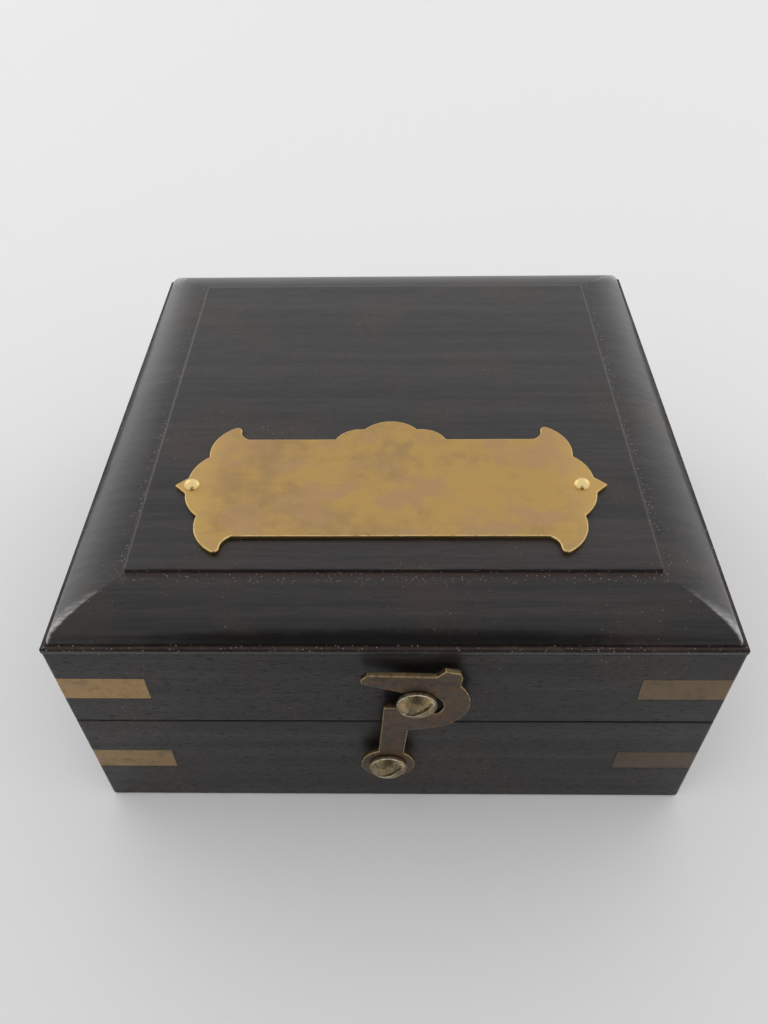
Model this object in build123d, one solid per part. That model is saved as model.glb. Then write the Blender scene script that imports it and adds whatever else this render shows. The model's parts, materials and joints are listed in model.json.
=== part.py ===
"""Boxed handheld bearing compass: an ebonised hardwood case with brass fittings, and a sighting compass
in a fitted tray inside it.

Millimetres. +Z is up, +X is to the right and -Y is the front, where the latch is.
The origin is the middle of the case's underside.
"""
from build123d import *
from math import cos, radians, sin, sqrt
import os

# ---------------------------------------------------------------- driving dimensions
# Fits and clearances
FIT = 0.05                  # between two pieces that are fixed together
RUN = 0.06                  # radial, between a pin and what turns on it
FREE = 0.3                  # between pieces that move past each other

# Case
WALL = 8.0                  # thickness of the side boards
BASE_HEIGHT = 27.0          # underside to the split line
LID_WALL = 19.4             # split line to the underside of the top board
SPLIT_GAP = 0.3             # open line between lid and base
EDGE_ROUND = 0.7            # softened outer edges of the boards
EDGE_SOFT = 0.25            # along the feet of both halves
FLOOR = 4.0                 # floor board thickness
REBATE = 3.0                # how far the floor board runs under the side boards
SEAT_GAP = 0.4              # tray to side boards
TRAY_MARGIN = 4.59          # compass fittings to side boards

# Moulded top board
TOP_EDGE = 1.0              # upright edge of the top board
TOP_LEDGE = 0.9             # flat ledge inside that edge
TOP_CURVE_RISE = 4.4        # rise of the rounded border
TOP_BORDER = 11.6           # edge to raised panel
PANEL_STEP = 0.9            # step up to the raised panel

# Corner straps, let in flush
STRAP_LENGTH = 14.5
STRAP_HEIGHT = 5.7
STRAP_THICK = 1.2
STRAP_LIFT = 0.6            # base straps above the middle of their board

# Name plate
PLATE_THICK = 0.8
PLATE_X = -0.4              # plate centre from the middle of the lid
PLATE_Y = -24.0
PLATE_HALF = 37.1           # centre to the pointed end
PLATE_BODY = 12.0           # centre to the long straight edges
PLATE_PIN_X = 33.4          # each pin from the middle of the pair
PLATE_PIN_SHIFT = -0.7      # middle of the pair from the plate's centre
PLATE_PIN_R = 0.65
PLATE_PIN_HEAD_R = 1.45
PLATE_PIN_HEAD_RISE = 1.0
PLATE_PIN_LENGTH = 4.5

# Latch
HOOK_THICK = 0.95
SPACER_THICK = 1.4          # stands the hook off the boards
SPACER_R = 3.0
PIVOT_X = -0.9
PIVOT_DROP = 10.4           # pivot screw below the split line
CATCH_X = 3.85
CATCH_RISE = 9.75           # catch screw above the split line
EYE_R = 4.65
SHANK_R = 1.75
SHANK_LENGTH = 6.4          # buried in the board
HEAD_R = 3.25
HEAD_SIDE = 0.7             # upright rim of a screw head
HEAD_DOME = 1.4             # rise of its dome
SLOT_WIDTH = 0.8
SLOT_DEPTH = 1.1
SLOT_TILT = 30.0
HOOK_PLAY = 0.55            # catch screw to each side of the hook's curved mouth
NECK_WIDTH = 4.3
NECK_LEAN = 1.4             # how far the neck's top lies to the right of its foot

# Hinges
HINGE_X = 30.0
LEAF_LENGTH = 18.0
LEAF_DEPTH = 7.0
LEAF_THICK = 0.9
BARREL_R = 1.7
PIN_R = 0.7
HINGE_OUT = 1.0             # barrel centre behind the back face
KNUCKLE_GAP = 0.15
HINGE_SCREW_R = 0.8
HINGE_SCREW_HEAD_R = 1.5
HINGE_SCREW_LENGTH = 7.0
HINGE_SCREW_X = 5.6
HINGE_SCREW_IN = 0.4        # screw line in front of the middle of the leaf
HINGE_SCREW_SLOT = (0.4, 0.6)

# Compass bowl
BOWL_R = 34.0
BOWL_HEIGHT = 22.0
BOWL_FLOOR = 2.5
BOWL_WALL = 2.0             # at the rim
BOWL_CHAMFER = 0.8
GLASS_REBATE = 1.0          # seat of the glass, cut into that wall
CARD_SPACE_WALL = 3.1       # thicker wall round the card
SHOULDER_DROP = 4.0         # bearing ring shoulder below the rim
SHOULDER_STEP = 1.0
RING_THICK = 3.3            # bearing ring, inside to outside
RING_ABOVE = 1.4            # bearing ring above the bowl rim
FLANGE_THICK = 1.2          # retaining ring's flange
FLANGE_LAP = 1.2            # that flange over the bowl's rim
FLANGE_CHAMFER = 0.3
RETAINING_WIDE = 2.2        # retaining ring's spigot, inside to outside
RING_CHAMFER = 1.0
GLASS_THICK = 2.0
GLASS_SINK = 1.2            # glass top below the rim
GASKET_THICK = 0.8
LUBBER_HEIGHT = 1.8
LUBBER_CLEAR = 0.4          # lubber ring to the card's edge, seen from above
KNURLS = 60
KNURL_R = 0.45
KNURL_OUT = 0.1             # knurl centres beyond the ring's side
KNURL_HEIGHT = 2.6

# Card and pivot
CARD_R = 29.0
CARD_THICK = 0.5
CAP_R = 3.2
JEWEL_R = 1.4
JEWEL_HEIGHT = 1.95
TIP_RISE = 0.8              # pivot point above the card's face
CAP_CHAMFER = 0.5
CAP_OVER_JEWEL = 0.6
SKIRT_IN = 0.6              # cap's skirt inside its flange
SKIRT_DEPTH = 1.4           # skirt below the card
POST_R = 1.6
COLLAR_WIDE = 1.4           # post's collar beyond the post
COLLAR_HEIGHT = 1.5
POINT_LENGTH = 3.0
POINT_FOOT_R = 0.96
POINT_TIP_R = 0.08
MAGNET = (3.0, 38.0, 2.4)
MAGNET_X = 7.0

# Sights
SIGHT_LENGTH = 47.0
SIGHT_WIDTH = 12.0
SIGHT_TIP_WIDTH = 7.0
SIGHT_THICK = 1.5
SIGHT_LIFT = 0.2            # sights above the middle of their pins
SIGHT_SLOT = 3.4
SLOT_FROM_AXIS = 9.0
SLOT_FROM_TIP = 6.0
TIP_TAPER = 3.0             # length of the sight's pointed end
TIP_FLAT = 1.6              # half the width that is left there
HAIR_IN_SIGHT = 1.0         # hair beyond each end of the slot
HAIR_R = 0.2
EAR = 2.0
EAR_LIFT = 1.9              # hinge axis above the bearing ring
KNUCKLE_R = 1.9
SIGHT_PIN_R = 0.8
BRACKET_THICK = 3.0
BRACKET_FOOT = 4.4          # foot of a bracket above the bowl's foot
BRACKET_UNDER_RING = 0.2    # past the free gap
BRACKET_SCREW_R = 1.1
BRACKET_SCREW_RISE = 7.7    # screws above the bowl's foot
BRACKET_HEAD_WIDE = 1.0     # counterbore beyond the shank
BRACKET_HEAD_DEEP = 1.4
BRACKET_SLOT = (0.9, 0.5)
PRISM_LEAF = 19.0
PRISM_SIZE = 8.0
PRISM_FROM_AXIS = 6.0
CHEEK = 1.2                 # plates at the prism's sides
PEEP_R = 2.2
NOTCH_HALF = 0.4            # sighting notch in the end of the leaf

# Brake button, thumb ring and tray
BUTTON_R = 2.2
BUTTON_STEM_R = 0.95
BUTTON_TRAVEL = 1.2
BUTTON_HEIGHT = 2.6
BUTTON_ROUND = 0.7
BUSH_R = 2.05
BUSH_FLANGE_R = 2.9
BUSH_OUT = 2.4              # bush beyond the bowl's side
BRAKE_GAP = 0.3             # brake to card when pressed
THUMB_R = 7.0
THUMB_WIRE = 1.2
THUMB_ANGLE = 135.0         # round the bowl from +X, towards the back left corner
LUG_EYE_R = 2.7
LUG_HALF = 1.4              # half the lug's width at the eye
LUG_ROOT = 2.0              # and at the bowl
LUG_RISE = 9.9              # thumb ring above the bowl's foot
LUG_ARM = 1.5               # from the swivel back to the lug's block
TRAY_UNDER_RING = 0.76      # baize to the underside of the bearing ring
TRAY_COVER = 0.9            # baize on the tray
WELL_GAP = 0.8
FELT = 1.2
SCOOP_R = 9.0               # finger scoops beside the well
SCOOP_OUT = 3.0             # their centres beyond the bowl
SCOOP_TURNS = (45, 225, 315)
NOTCH_PLAY = 1.5            # tray cuts round the brackets, the button and the thumb ring
BRACKET_PLAY = 1.0
COVER_OVER = 0.25           # baize over the edge of each cut
FELT_PLAY = 0.2
PAD_THICK = 3.2
PAD_MARGIN = 1.0
PAD_CORNER = 3.0

# ---------------------------------------------------------------- derived places
TOL = 0.5                   # overshoot of a cutting tool past a face
TOP_THICK = TOP_EDGE + TOP_CURVE_RISE + PANEL_STEP + 0.1
RING_R = BOWL_R - SHOULDER_STEP + FIT + RUN + RING_THICK
EAR_IN = RING_R + 0.5                       # inner side of the bracket ears
AXIS_R = EAR_IN + KNUCKLE_R + 0.4           # hinge axes of the sights
FITTING_R = AXIS_R + KNUCKLE_R + 0.3        # furthest reach of the brackets
INNER = 2 * (FITTING_R + TRAY_MARGIN)       # inside width of the case
WIDTH = INNER + 2 * WALL                    # outside width, front to back and side to side
HALF = WIDTH / 2
LID_TOP = BASE_HEIGHT + LID_WALL + TOP_THICK
BOWL_Z = FLOOR + FELT                       # underside of the bowl
RIM_Z = BOWL_Z + BOWL_HEIGHT
SHOULDER_Z = RIM_Z - SHOULDER_DROP
RING_Z = SHOULDER_Z + RUN
RING_TOP = RIM_Z + RING_ABOVE
GLASS_Z = RIM_Z - GLASS_SINK - GLASS_THICK
LUBBER_TOP = GLASS_Z - GASKET_THICK
LUBBER_Z = LUBBER_TOP - LUBBER_HEIGHT
BUTTON_Z = LUBBER_Z - BUSH_R - FREE / 2
CARD_TOP = BUTTON_Z + CARD_THICK / 2
TIP_Z = CARD_TOP + TIP_RISE
AXIS_Z = RING_TOP + EAR_LIFT
TRAY_TOP = RING_Z - TRAY_UNDER_RING
KNOB_IN = BOWL_R + BUSH_OUT + BUTTON_TRAVEL + FREE
KNOB_OUT = KNOB_IN + BUTTON_HEIGHT
THUMB_AXIS = RING_R + THUMB_WIRE + 1.6      # thumb ring's swivel from the middle
LUG_Z = BOWL_Z + LUG_RISE
PLATE_PIN_PLACES = [PLATE_X + PLATE_PIN_SHIFT + sx * PLATE_PIN_X for sx in (-1, 1)]
PIVOT_Z = BASE_HEIGHT - PIVOT_DROP
CATCH_Z = BASE_HEIGHT + CATCH_RISE
HOOK_FRONT = -HALF - SPACER_THICK - HOOK_THICK
HINGE_Y = HALF + HINGE_OUT
SCREW_LEVEL = BOWL_Z + BRACKET_SCREW_RISE   # bracket screws
SCREW_X = 4.0
LOW = (Align.CENTER, Align.CENTER, Align.MIN)


# ---------------------------------------------------------------- helpers
def block(x0, x1, y0, y1, z0, z1):
    """A box from its lowest to its highest corner."""
    return Pos((x0 + x1) / 2, (y0 + y1) / 2, (z0 + z1) / 2) * Box(x1 - x0, y1 - y0, z1 - z0)


def disc(radius, z0, z1, x=0.0, y=0.0):
    """An upright cylinder."""
    return Pos(x, y, z0) * Cylinder(radius, z1 - z0, align=LOW)


def ring(outer, inner, z0, z1):
    """An upright ring."""
    return disc(outer, z0, z1) - disc(inner, z0 - TOL, z1 + TOL)


def rod_x(radius, x0, x1, y, z):
    """A cylinder along X."""
    return Pos(x0, y, z) * Rot(0, 90, 0) * Cylinder(radius, x1 - x0, align=LOW)


def rod_y(radius, y0, y1, x, z):
    """A cylinder along Y."""
    return Pos(x, y0, z) * Rot(-90, 0, 0) * Cylinder(radius, y1 - y0, align=LOW)


def plan(points, z0, z1):
    """A straight-sided outline in XY, raised from z0 to z1."""
    return extrude(make_face(Pos(0, 0, z0) * Polyline(*points, close=True)), z1 - z0, dir=(0, 0, 1))


def group(solids):
    """Separate solids that share one node."""
    return Compound(children=[s for item in solids for s in item.solids()])


def save(name, shape):
    """Writes one node."""
    shape.label = name
    export_step(shape, f"parts/{name}.step")


# ---------------------------------------------------------------- case boards
def rounded_box(z0, z1, soft_low, soft_high):
    """The case's outer block between two heights, with softened edges."""
    body = block(-HALF, HALF, -HALF, HALF, z0, z1)
    body = fillet(body.edges().filter_by(Axis.Z), EDGE_ROUND)
    if soft_low:
        body = fillet(body.edges().group_by(Axis.Z)[0], soft_low)
    if soft_high:
        body = fillet(body.edges().group_by(Axis.Z)[-1], soft_high)
    return body


def mitre_wedge(turn, z0, z1):
    """The part of the case ring that one side board fills, cut at 45 degrees at the corners."""
    deep = WALL + REBATE + 1
    corners = [(-HALF, -HALF), (HALF, -HALF), (HALF - deep, deep - HALF), (deep - HALF, deep - HALF)]
    return Rot(0, 0, turn) * plan(corners, z0, z1)


def strap_set(outer, z_mid, grow):
    """The four corner straps, each bent round a corner; grow widens them into their grooves."""
    half = STRAP_HEIGHT / 2 + grow
    reach = STRAP_LENGTH + grow
    thick = STRAP_THICK + grow
    straps = []
    for sx in (-1, 1):
        for sy in (-1, 1):
            corner = Pos(sx * (HALF - reach / 2), sy * (HALF - reach / 2), z_mid) * Box(reach, reach, 2 * half)
            inside = Pos(sx * (HALF - thick - reach / 2), sy * (HALF - thick - reach / 2), z_mid) * Box(
                reach, reach, 2 * half + 1)
            straps.append((corner & outer) - inside)
    return straps


def side_boards(outer, z0, z1, cutters):
    """The four mitred boards of one half of the case, with what is let into them cut away."""
    hollow = block(-INNER / 2, INNER / 2, -INNER / 2, INNER / 2, z0 - 1, z1 + 1)
    frame = outer - hollow
    for tool in cutters:
        frame -= tool
    sides = {"front": 0, "right": 90, "back": 180, "left": 270}
    return {side: frame & mitre_wedge(turn, z0, z1) for side, turn in sides.items()}


# ---------------------------------------------------------------- screws
def dome_screw(x, z):
    """A slotted round-head screw through the front board; the head stands off by the hook and its spacer."""
    shank = rod_y(SHANK_R, HOOK_FRONT - RUN, -HALF + SHANK_LENGTH, x, z)
    sphere_r = (HEAD_R**2 + HEAD_DOME**2) / (2 * HEAD_DOME)
    face = HOOK_FRONT - RUN - HEAD_SIDE - HEAD_DOME
    head = rod_y(HEAD_R, face, HOOK_FRONT - RUN, x, z)
    head &= Pos(x, face + sphere_r, z) * Sphere(sphere_r)
    head -= Pos(x, face, z) * Rot(0, -SLOT_TILT, 0) * Box(2 * HEAD_R + 1, 2 * SLOT_DEPTH, SLOT_WIDTH)
    return head + shank


def countersunk_screw(x, y, z, up, grow=0.0):
    """A countersunk screw whose flat head is at z; up is 1 when its point is above its head."""
    cone = min(HINGE_SCREW_HEAD_R - HINGE_SCREW_R, LEAF_THICK)
    head = Cone(HINGE_SCREW_HEAD_R + grow, HINGE_SCREW_R + grow, cone, align=LOW)
    screw = head + Cylinder(HINGE_SCREW_R + grow, HINGE_SCREW_LENGTH + grow, align=LOW)
    if not grow:
        screw -= Box(2 * HINGE_SCREW_HEAD_R + 1, *HINGE_SCREW_SLOT)
    return Pos(x, y, z) * Rot(0 if up > 0 else 180, 0, 0) * screw


# ---------------------------------------------------------------- hinges
def hinge_leaf(side, lid):
    """One leaf of a butt hinge with its knuckles."""
    x = side * HINGE_X
    half = LEAF_LENGTH / 2
    way = 1 if lid else -1
    near = BASE_HEIGHT + way * SPLIT_GAP / 2
    z0, z1 = sorted((near, near + way * LEAF_THICK))
    leaf = block(x - half, x + half, HALF - LEAF_DEPTH, HINGE_Y, z0, z1)
    third = LEAF_LENGTH / 3
    own = [(-third / 2, third / 2)] if lid else [(-half, -third / 2), (third / 2, half)]
    other = [(-half, -third / 2), (third / 2, half)] if lid else [(-third / 2, third / 2)]
    for a, b in other:
        leaf -= rod_x(BARREL_R + KNUCKLE_GAP, x + a - KNUCKLE_GAP, x + b + KNUCKLE_GAP, HINGE_Y, BASE_HEIGHT)
    for a, b in own:
        a_in = a + (KNUCKLE_GAP / 2 if abs(a) < third else 0)
        b_in = b - (KNUCKLE_GAP / 2 if abs(b) < third else 0)
        leaf += rod_x(BARREL_R, x + a_in, x + b_in, HINGE_Y, BASE_HEIGHT)
    leaf -= rod_x(PIN_R + RUN, x - half - 1, x + half + 1, HINGE_Y, BASE_HEIGHT)
    return leaf


def hinge_recess(side, lid):
    """Room for a leaf and the barrel in the boards."""
    x = side * HINGE_X
    half = LEAF_LENGTH / 2 + FIT
    way = 1 if lid else -1
    near = BASE_HEIGHT + way * SPLIT_GAP / 2
    z0, z1 = sorted((near - way, near + way * (LEAF_THICK + FIT)))
    recess = block(x - half, x + half, HALF - LEAF_DEPTH - FIT, HALF + 1, z0, z1)
    return recess + rod_x(BARREL_R + FREE, x - half, x + half, HINGE_Y, BASE_HEIGHT)


def hinge_screws(lid, grow=0.0):
    """The four screws that hold the leaves of one half."""
    way = 1 if lid else -1
    z = BASE_HEIGHT + way * SPLIT_GAP / 2
    y = HALF - LEAF_DEPTH / 2 - HINGE_SCREW_IN
    return [
        countersunk_screw(side * HINGE_X + dx, y, z, way, grow)
        for side in (-1, 1)
        for dx in (-HINGE_SCREW_X, HINGE_SCREW_X)
    ]


# ---------------------------------------------------------------- case
def moulded_top():
    """The top board: a stepped raised panel inside a rounded border, mitred at the corners."""
    z0 = BASE_HEIGHT + LID_WALL
    ledge_z = z0 + TOP_EDGE
    curve_z = ledge_z + 0.1
    run = TOP_BORDER - TOP_LEDGE
    inset = HALF - TOP_BORDER

    def half_profile(plane):
        start = HALF - TOP_LEDGE
        right = [
            Line((HALF, z0), (HALF, ledge_z)),
            Line((HALF, ledge_z), (start, ledge_z)),
            Line((start, ledge_z), (start, curve_z)),
            EllipticalCenterArc((inset, curve_z), run, TOP_CURVE_RISE, 0, arc_size=90),
            Line((inset, curve_z + TOP_CURVE_RISE), (inset, LID_TOP)),
        ]
        left = [edge.mirror(Plane.YZ) for edge in right]
        across = [Line((-inset, LID_TOP), (inset, LID_TOP)), Line((-HALF, z0), (HALF, z0))]
        face = make_face([*right, *left, *across])
        return extrude(plane * face, HALF, both=True)

    return half_profile(Plane.XZ) & half_profile(Plane.YZ)


def build_case():
    """Boards, straps, tray and floor of the base, and the lid's boards and pad."""
    nodes = {}
    base_top = BASE_HEIGHT - SPLIT_GAP / 2
    lid_low = BASE_HEIGHT + SPLIT_GAP / 2
    lid_high = BASE_HEIGHT + LID_WALL
    base_outer = rounded_box(0, base_top, EDGE_ROUND, EDGE_SOFT)
    lid_outer = rounded_box(lid_low, lid_high, EDGE_SOFT, 0)
    base_mid = base_top / 2 + STRAP_LIFT
    lid_mid = (lid_low + lid_high) / 2

    floor_half = INNER / 2 + REBATE
    floor_cut = block(-floor_half - FIT, floor_half + FIT, -floor_half - FIT, floor_half + FIT, -1, FLOOR)
    base_cuts = [
        *strap_set(base_outer, base_mid, FIT),
        floor_cut,
        rod_y(SHANK_R + FIT, -HALF - 1, -HALF + SHANK_LENGTH + FIT, PIVOT_X, PIVOT_Z),
        *[hinge_recess(side, False) for side in (-1, 1)],
        *hinge_screws(False, FIT),
    ]
    lid_cuts = [
        *strap_set(lid_outer, lid_mid, FIT),
        rod_y(SHANK_R + FIT, -HALF - 1, -HALF + SHANK_LENGTH + FIT, CATCH_X, CATCH_Z),
        *[hinge_recess(side, True) for side in (-1, 1)],
        *hinge_screws(True, FIT),
    ]
    for side, board in side_boards(base_outer, 0, base_top, base_cuts).items():
        nodes[f"base_wall_{side}"] = board
    for side, board in side_boards(lid_outer, lid_low, lid_high, lid_cuts).items():
        nodes[f"lid_wall_{side}"] = board
    nodes["base_floor"] = block(-floor_half, floor_half, -floor_half, floor_half, 0, FLOOR - FIT)
    nodes["base_corner_straps"] = group(strap_set(base_outer, base_mid, 0))
    nodes["lid_corner_straps"] = group(strap_set(lid_outer, lid_mid, 0))

    top = moulded_top()
    for x in PLATE_PIN_PLACES:
        top -= disc(PLATE_PIN_R + FIT, LID_TOP - PLATE_PIN_LENGTH - FIT, LID_TOP + 1, x, PLATE_Y)
    nodes["lid_top_board"] = top
    pad = INNER / 2 - PAD_MARGIN
    pad_block = block(-pad, pad, -pad, pad, lid_high - PAD_THICK, lid_high)
    nodes["lid_pad"] = fillet(pad_block.edges().filter_by(Axis.Z), PAD_CORNER)
    return nodes


def tray_cuts(z0, z1, shelf, gap):
    """What the tray is hollowed for: bowl, brackets, button, fingers, and the thumb ring down to its shelf."""
    notch = SIGHT_WIDTH / 2 + EAR + NOTCH_PLAY + gap
    deep = FITTING_R + BRACKET_PLAY + gap
    button_side = BUSH_FLANGE_R + NOTCH_PLAY + gap
    cuts = disc(BOWL_R + WELL_GAP + gap, z0, z1)
    cuts += block(-notch, notch, -deep, deep, z0, z1)
    cuts += block(0, KNOB_OUT + NOTCH_PLAY + gap, -button_side, button_side, z0, z1)
    scoop_at = BOWL_R + SCOOP_OUT
    for turn in SCOOP_TURNS:
        cuts += disc(SCOOP_R + gap, z0, z1, scoop_at * cos(radians(turn)), scoop_at * sin(radians(turn)))
    bed_r = THUMB_R + THUMB_WIRE + NOTCH_PLAY + gap
    bed_x = THUMB_AXIS + THUMB_R
    bed = disc(bed_r, shelf, z1, bed_x, 0)
    bed += block(BOWL_R - 2, bed_x, -bed_r, bed_r, shelf, z1)
    bed += block(BOWL_R - 2, THUMB_AXIS + LUG_EYE_R + 0.6, -3.0, 3.0, z0, z1)
    return cuts + Rot(0, 0, THUMB_ANGLE) * bed


def build_tray():
    """The fitted block in the base, its baize cover and the felt that the bowl stands on."""
    half = INNER / 2 - SEAT_GAP
    block_top = TRAY_TOP - TRAY_COVER
    shelf = LUG_Z - THUMB_WIRE - FREE
    shape = block(-half, half, -half, half, FLOOR, block_top)
    shape -= tray_cuts(FLOOR - 1, block_top + 1, shelf, 0.0)
    cover = block(-half, half, -half, half, block_top, TRAY_TOP)
    cover -= tray_cuts(block_top - 1, TRAY_TOP + 1, block_top - 1, -COVER_OVER)
    felt = disc(BOWL_R + WELL_GAP - FELT_PLAY, FLOOR, BOWL_Z)
    return {"tray_block": shape, "tray_baize": cover, "well_felt": felt}


# ---------------------------------------------------------------- name plate
def plate_outline(sx):
    """The right (sx = 1) or left edge of the plate, from its top straight to its bottom straight."""
    def p(x, y):
        return (sx * x, y)

    b = PLATE_BODY
    e = PLATE_HALF
    edges = []
    for sy in (1, -1):
        foot = p(e - 11.4, sy * b)
        horn_in = p(e - 9.8, sy * (b + 2.5))
        horn_out = p(e - 8.4, sy * (b + 3.2))
        cusp = p(e - 4.9, sy * (b - 4.7))
        root = p(e - 2.1, sy * 1.9)
        edges += [
            ThreePointArc(foot, p(e - 10.3, sy * (b + 0.8)), horn_in),
            ThreePointArc(horn_in, p(e - 9.2, sy * (b + 3.3)), horn_out),
            ThreePointArc(horn_out, p(e - 5.8, sy * (b + 0.6)), cusp),
            ThreePointArc(cusp, p(e - 2.8, sy * (b - 7.4)), root),
            Line(root, p(e, 0)),
        ]
    return edges


def build_plate():
    """The shaped name plate, left bare, and the two pins that hold it."""
    b = PLATE_BODY
    end = PLATE_HALF - 11.4
    crest = [
        Line((-end, b), (-10.0, b)),
        ThreePointArc((-10.0, b), (-8.0, b + 2.2), (-4.8, b + 2.8)),
        ThreePointArc((-4.8, b + 2.8), (0, b + 5.1), (4.8, b + 2.8)),
        ThreePointArc((4.8, b + 2.8), (8.0, b + 2.2), (10.0, b)),
        Line((10.0, b), (end, b)),
        Line((-end, -b), (end, -b)),
    ]
    face = make_face([*crest, *plate_outline(1), *plate_outline(-1)])
    plate = extrude(Pos(PLATE_X, PLATE_Y, LID_TOP) * face, PLATE_THICK, dir=(0, 0, 1))
    pins = []
    head_z = LID_TOP + PLATE_THICK
    sphere_r = (PLATE_PIN_HEAD_R**2 + PLATE_PIN_HEAD_RISE**2) / (2 * PLATE_PIN_HEAD_RISE)
    for x in PLATE_PIN_PLACES:
        plate -= disc(PLATE_PIN_R + FIT, LID_TOP - 1, head_z + 1, x, PLATE_Y)
        dome = Pos(x, PLATE_Y, head_z + PLATE_PIN_HEAD_RISE - sphere_r) * Sphere(sphere_r)
        dome &= disc(PLATE_PIN_HEAD_R, head_z, head_z + PLATE_PIN_HEAD_RISE + 1, x, PLATE_Y)
        pins.append(dome + disc(PLATE_PIN_R, LID_TOP - PLATE_PIN_LENGTH, head_z, x, PLATE_Y))
    return {"name_plate": plate, "name_plate_pins": group(pins)}


# ---------------------------------------------------------------- latch
def build_latch():
    """The swing hook, its pivot screw and spacer, and the catch screw on the lid."""
    catch_dx = CATCH_X - PIVOT_X
    catch_dz = CATCH_Z - PIVOT_Z
    reach = sqrt(catch_dx**2 + catch_dz**2)
    mouth_in = reach - SHANK_R - HOOK_PLAY   # the mouth's lower and upper edges run round the pivot
    mouth_out = reach + SHANK_R + HOOK_PLAY
    mouth_end = catch_dx + 4.3
    body_right = catch_dx + 8.5

    def on(radius, dx):
        """A point at a radius from the pivot, dx to its right."""
        return (dx, sqrt(radius**2 - dx**2))

    foot = 0.25 + NECK_WIDTH / 2
    neck_top = on(mouth_in, NECK_LEAN - 1.9)
    neck_bend = (NECK_LEAN + 2.0, mouth_in - 6.9)
    low_edge = (mouth_end - 0.4, mouth_in - 5.7)
    side = (body_right, mouth_in + 1.2)
    shoulder = (catch_dx + 6.8, mouth_out + 1.7)
    nub = [
        (catch_dx + 7.0, mouth_out + 4.0),
        (catch_dx + 6.6, mouth_out + 5.0),
        (catch_dx + 4.3, mouth_out + 5.6),
        (catch_dx + 2.9, mouth_out + 4.1),
    ]
    arm_end = [(-3.0, mouth_out + 4.5), (-4.0, mouth_out + 3.3), (-3.9, mouth_out + 2.2)]
    mouth_low = on(mouth_in, catch_dx + 3.2)
    mouth_high = on(mouth_out, catch_dx + 1.9)
    outline = [
        Line((foot - NECK_WIDTH, 0), neck_top),
        ThreePointArc(neck_top, on(mouth_in, catch_dx), mouth_low),
        ThreePointArc(mouth_low, on(reach, mouth_end), mouth_high),
        ThreePointArc(mouth_high, on(mouth_out, catch_dx), on(mouth_out, catch_dx - 2.4)),
        Line(on(mouth_out, catch_dx - 2.4), arm_end[2]),
        Polyline(*arm_end[::-1]),
        Line(arm_end[0], nub[3]),
        Polyline(*nub[::-1]),
        Line(nub[0], shoulder),
        ThreePointArc(shoulder, side, low_edge),
        Line(low_edge, neck_bend),
        Line(neck_bend, (foot, 0)),
        Line((foot, 0), (foot - NECK_WIDTH, 0)),
    ]
    front = Plane(origin=(PIVOT_X, HOOK_FRONT, PIVOT_Z), x_dir=(1, 0, 0), z_dir=(0, -1, 0))
    hook = extrude(front * make_face(outline), HOOK_THICK, dir=(0, 1, 0))
    hook += rod_y(EYE_R, HOOK_FRONT, HOOK_FRONT + HOOK_THICK, PIVOT_X, PIVOT_Z)
    hook -= rod_y(SHANK_R + RUN, HOOK_FRONT - 1, -HALF, PIVOT_X, PIVOT_Z)
    spacer = rod_y(SPACER_R, -HALF - SPACER_THICK + RUN, -HALF, PIVOT_X, PIVOT_Z)
    spacer -= rod_y(SHANK_R + FIT, -HALF - 3, -HALF + 1, PIVOT_X, PIVOT_Z)
    return {
        "latch_hook": hook,
        "latch_spacer": spacer,
        "latch_pivot_screw": dome_screw(PIVOT_X, PIVOT_Z),
        "catch_screw": dome_screw(CATCH_X, CATCH_Z),
    }


def build_hinges():
    """Leaves, pins and screws of the two butt hinges."""
    half = LEAF_LENGTH / 2
    pins = [
        rod_x(PIN_R, side * HINGE_X - half, side * HINGE_X + half, HINGE_Y, BASE_HEIGHT) for side in (-1, 1)
    ]
    leaves = {}
    for lid, name in ((False, "hinge_base_leaves"), (True, "hinge_lid_leaves")):
        holes = hinge_screws(lid, FIT)
        made = []
        for side in (-1, 1):
            leaf = hinge_leaf(side, lid)
            for hole in holes:
                leaf -= hole
            made.append(leaf)
        leaves[name] = group(made)
    return {
        **leaves,
        "hinge_pins": group(pins),
        "hinge_base_screws": group(hinge_screws(False)),
        "hinge_lid_screws": group(hinge_screws(True)),
    }


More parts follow.
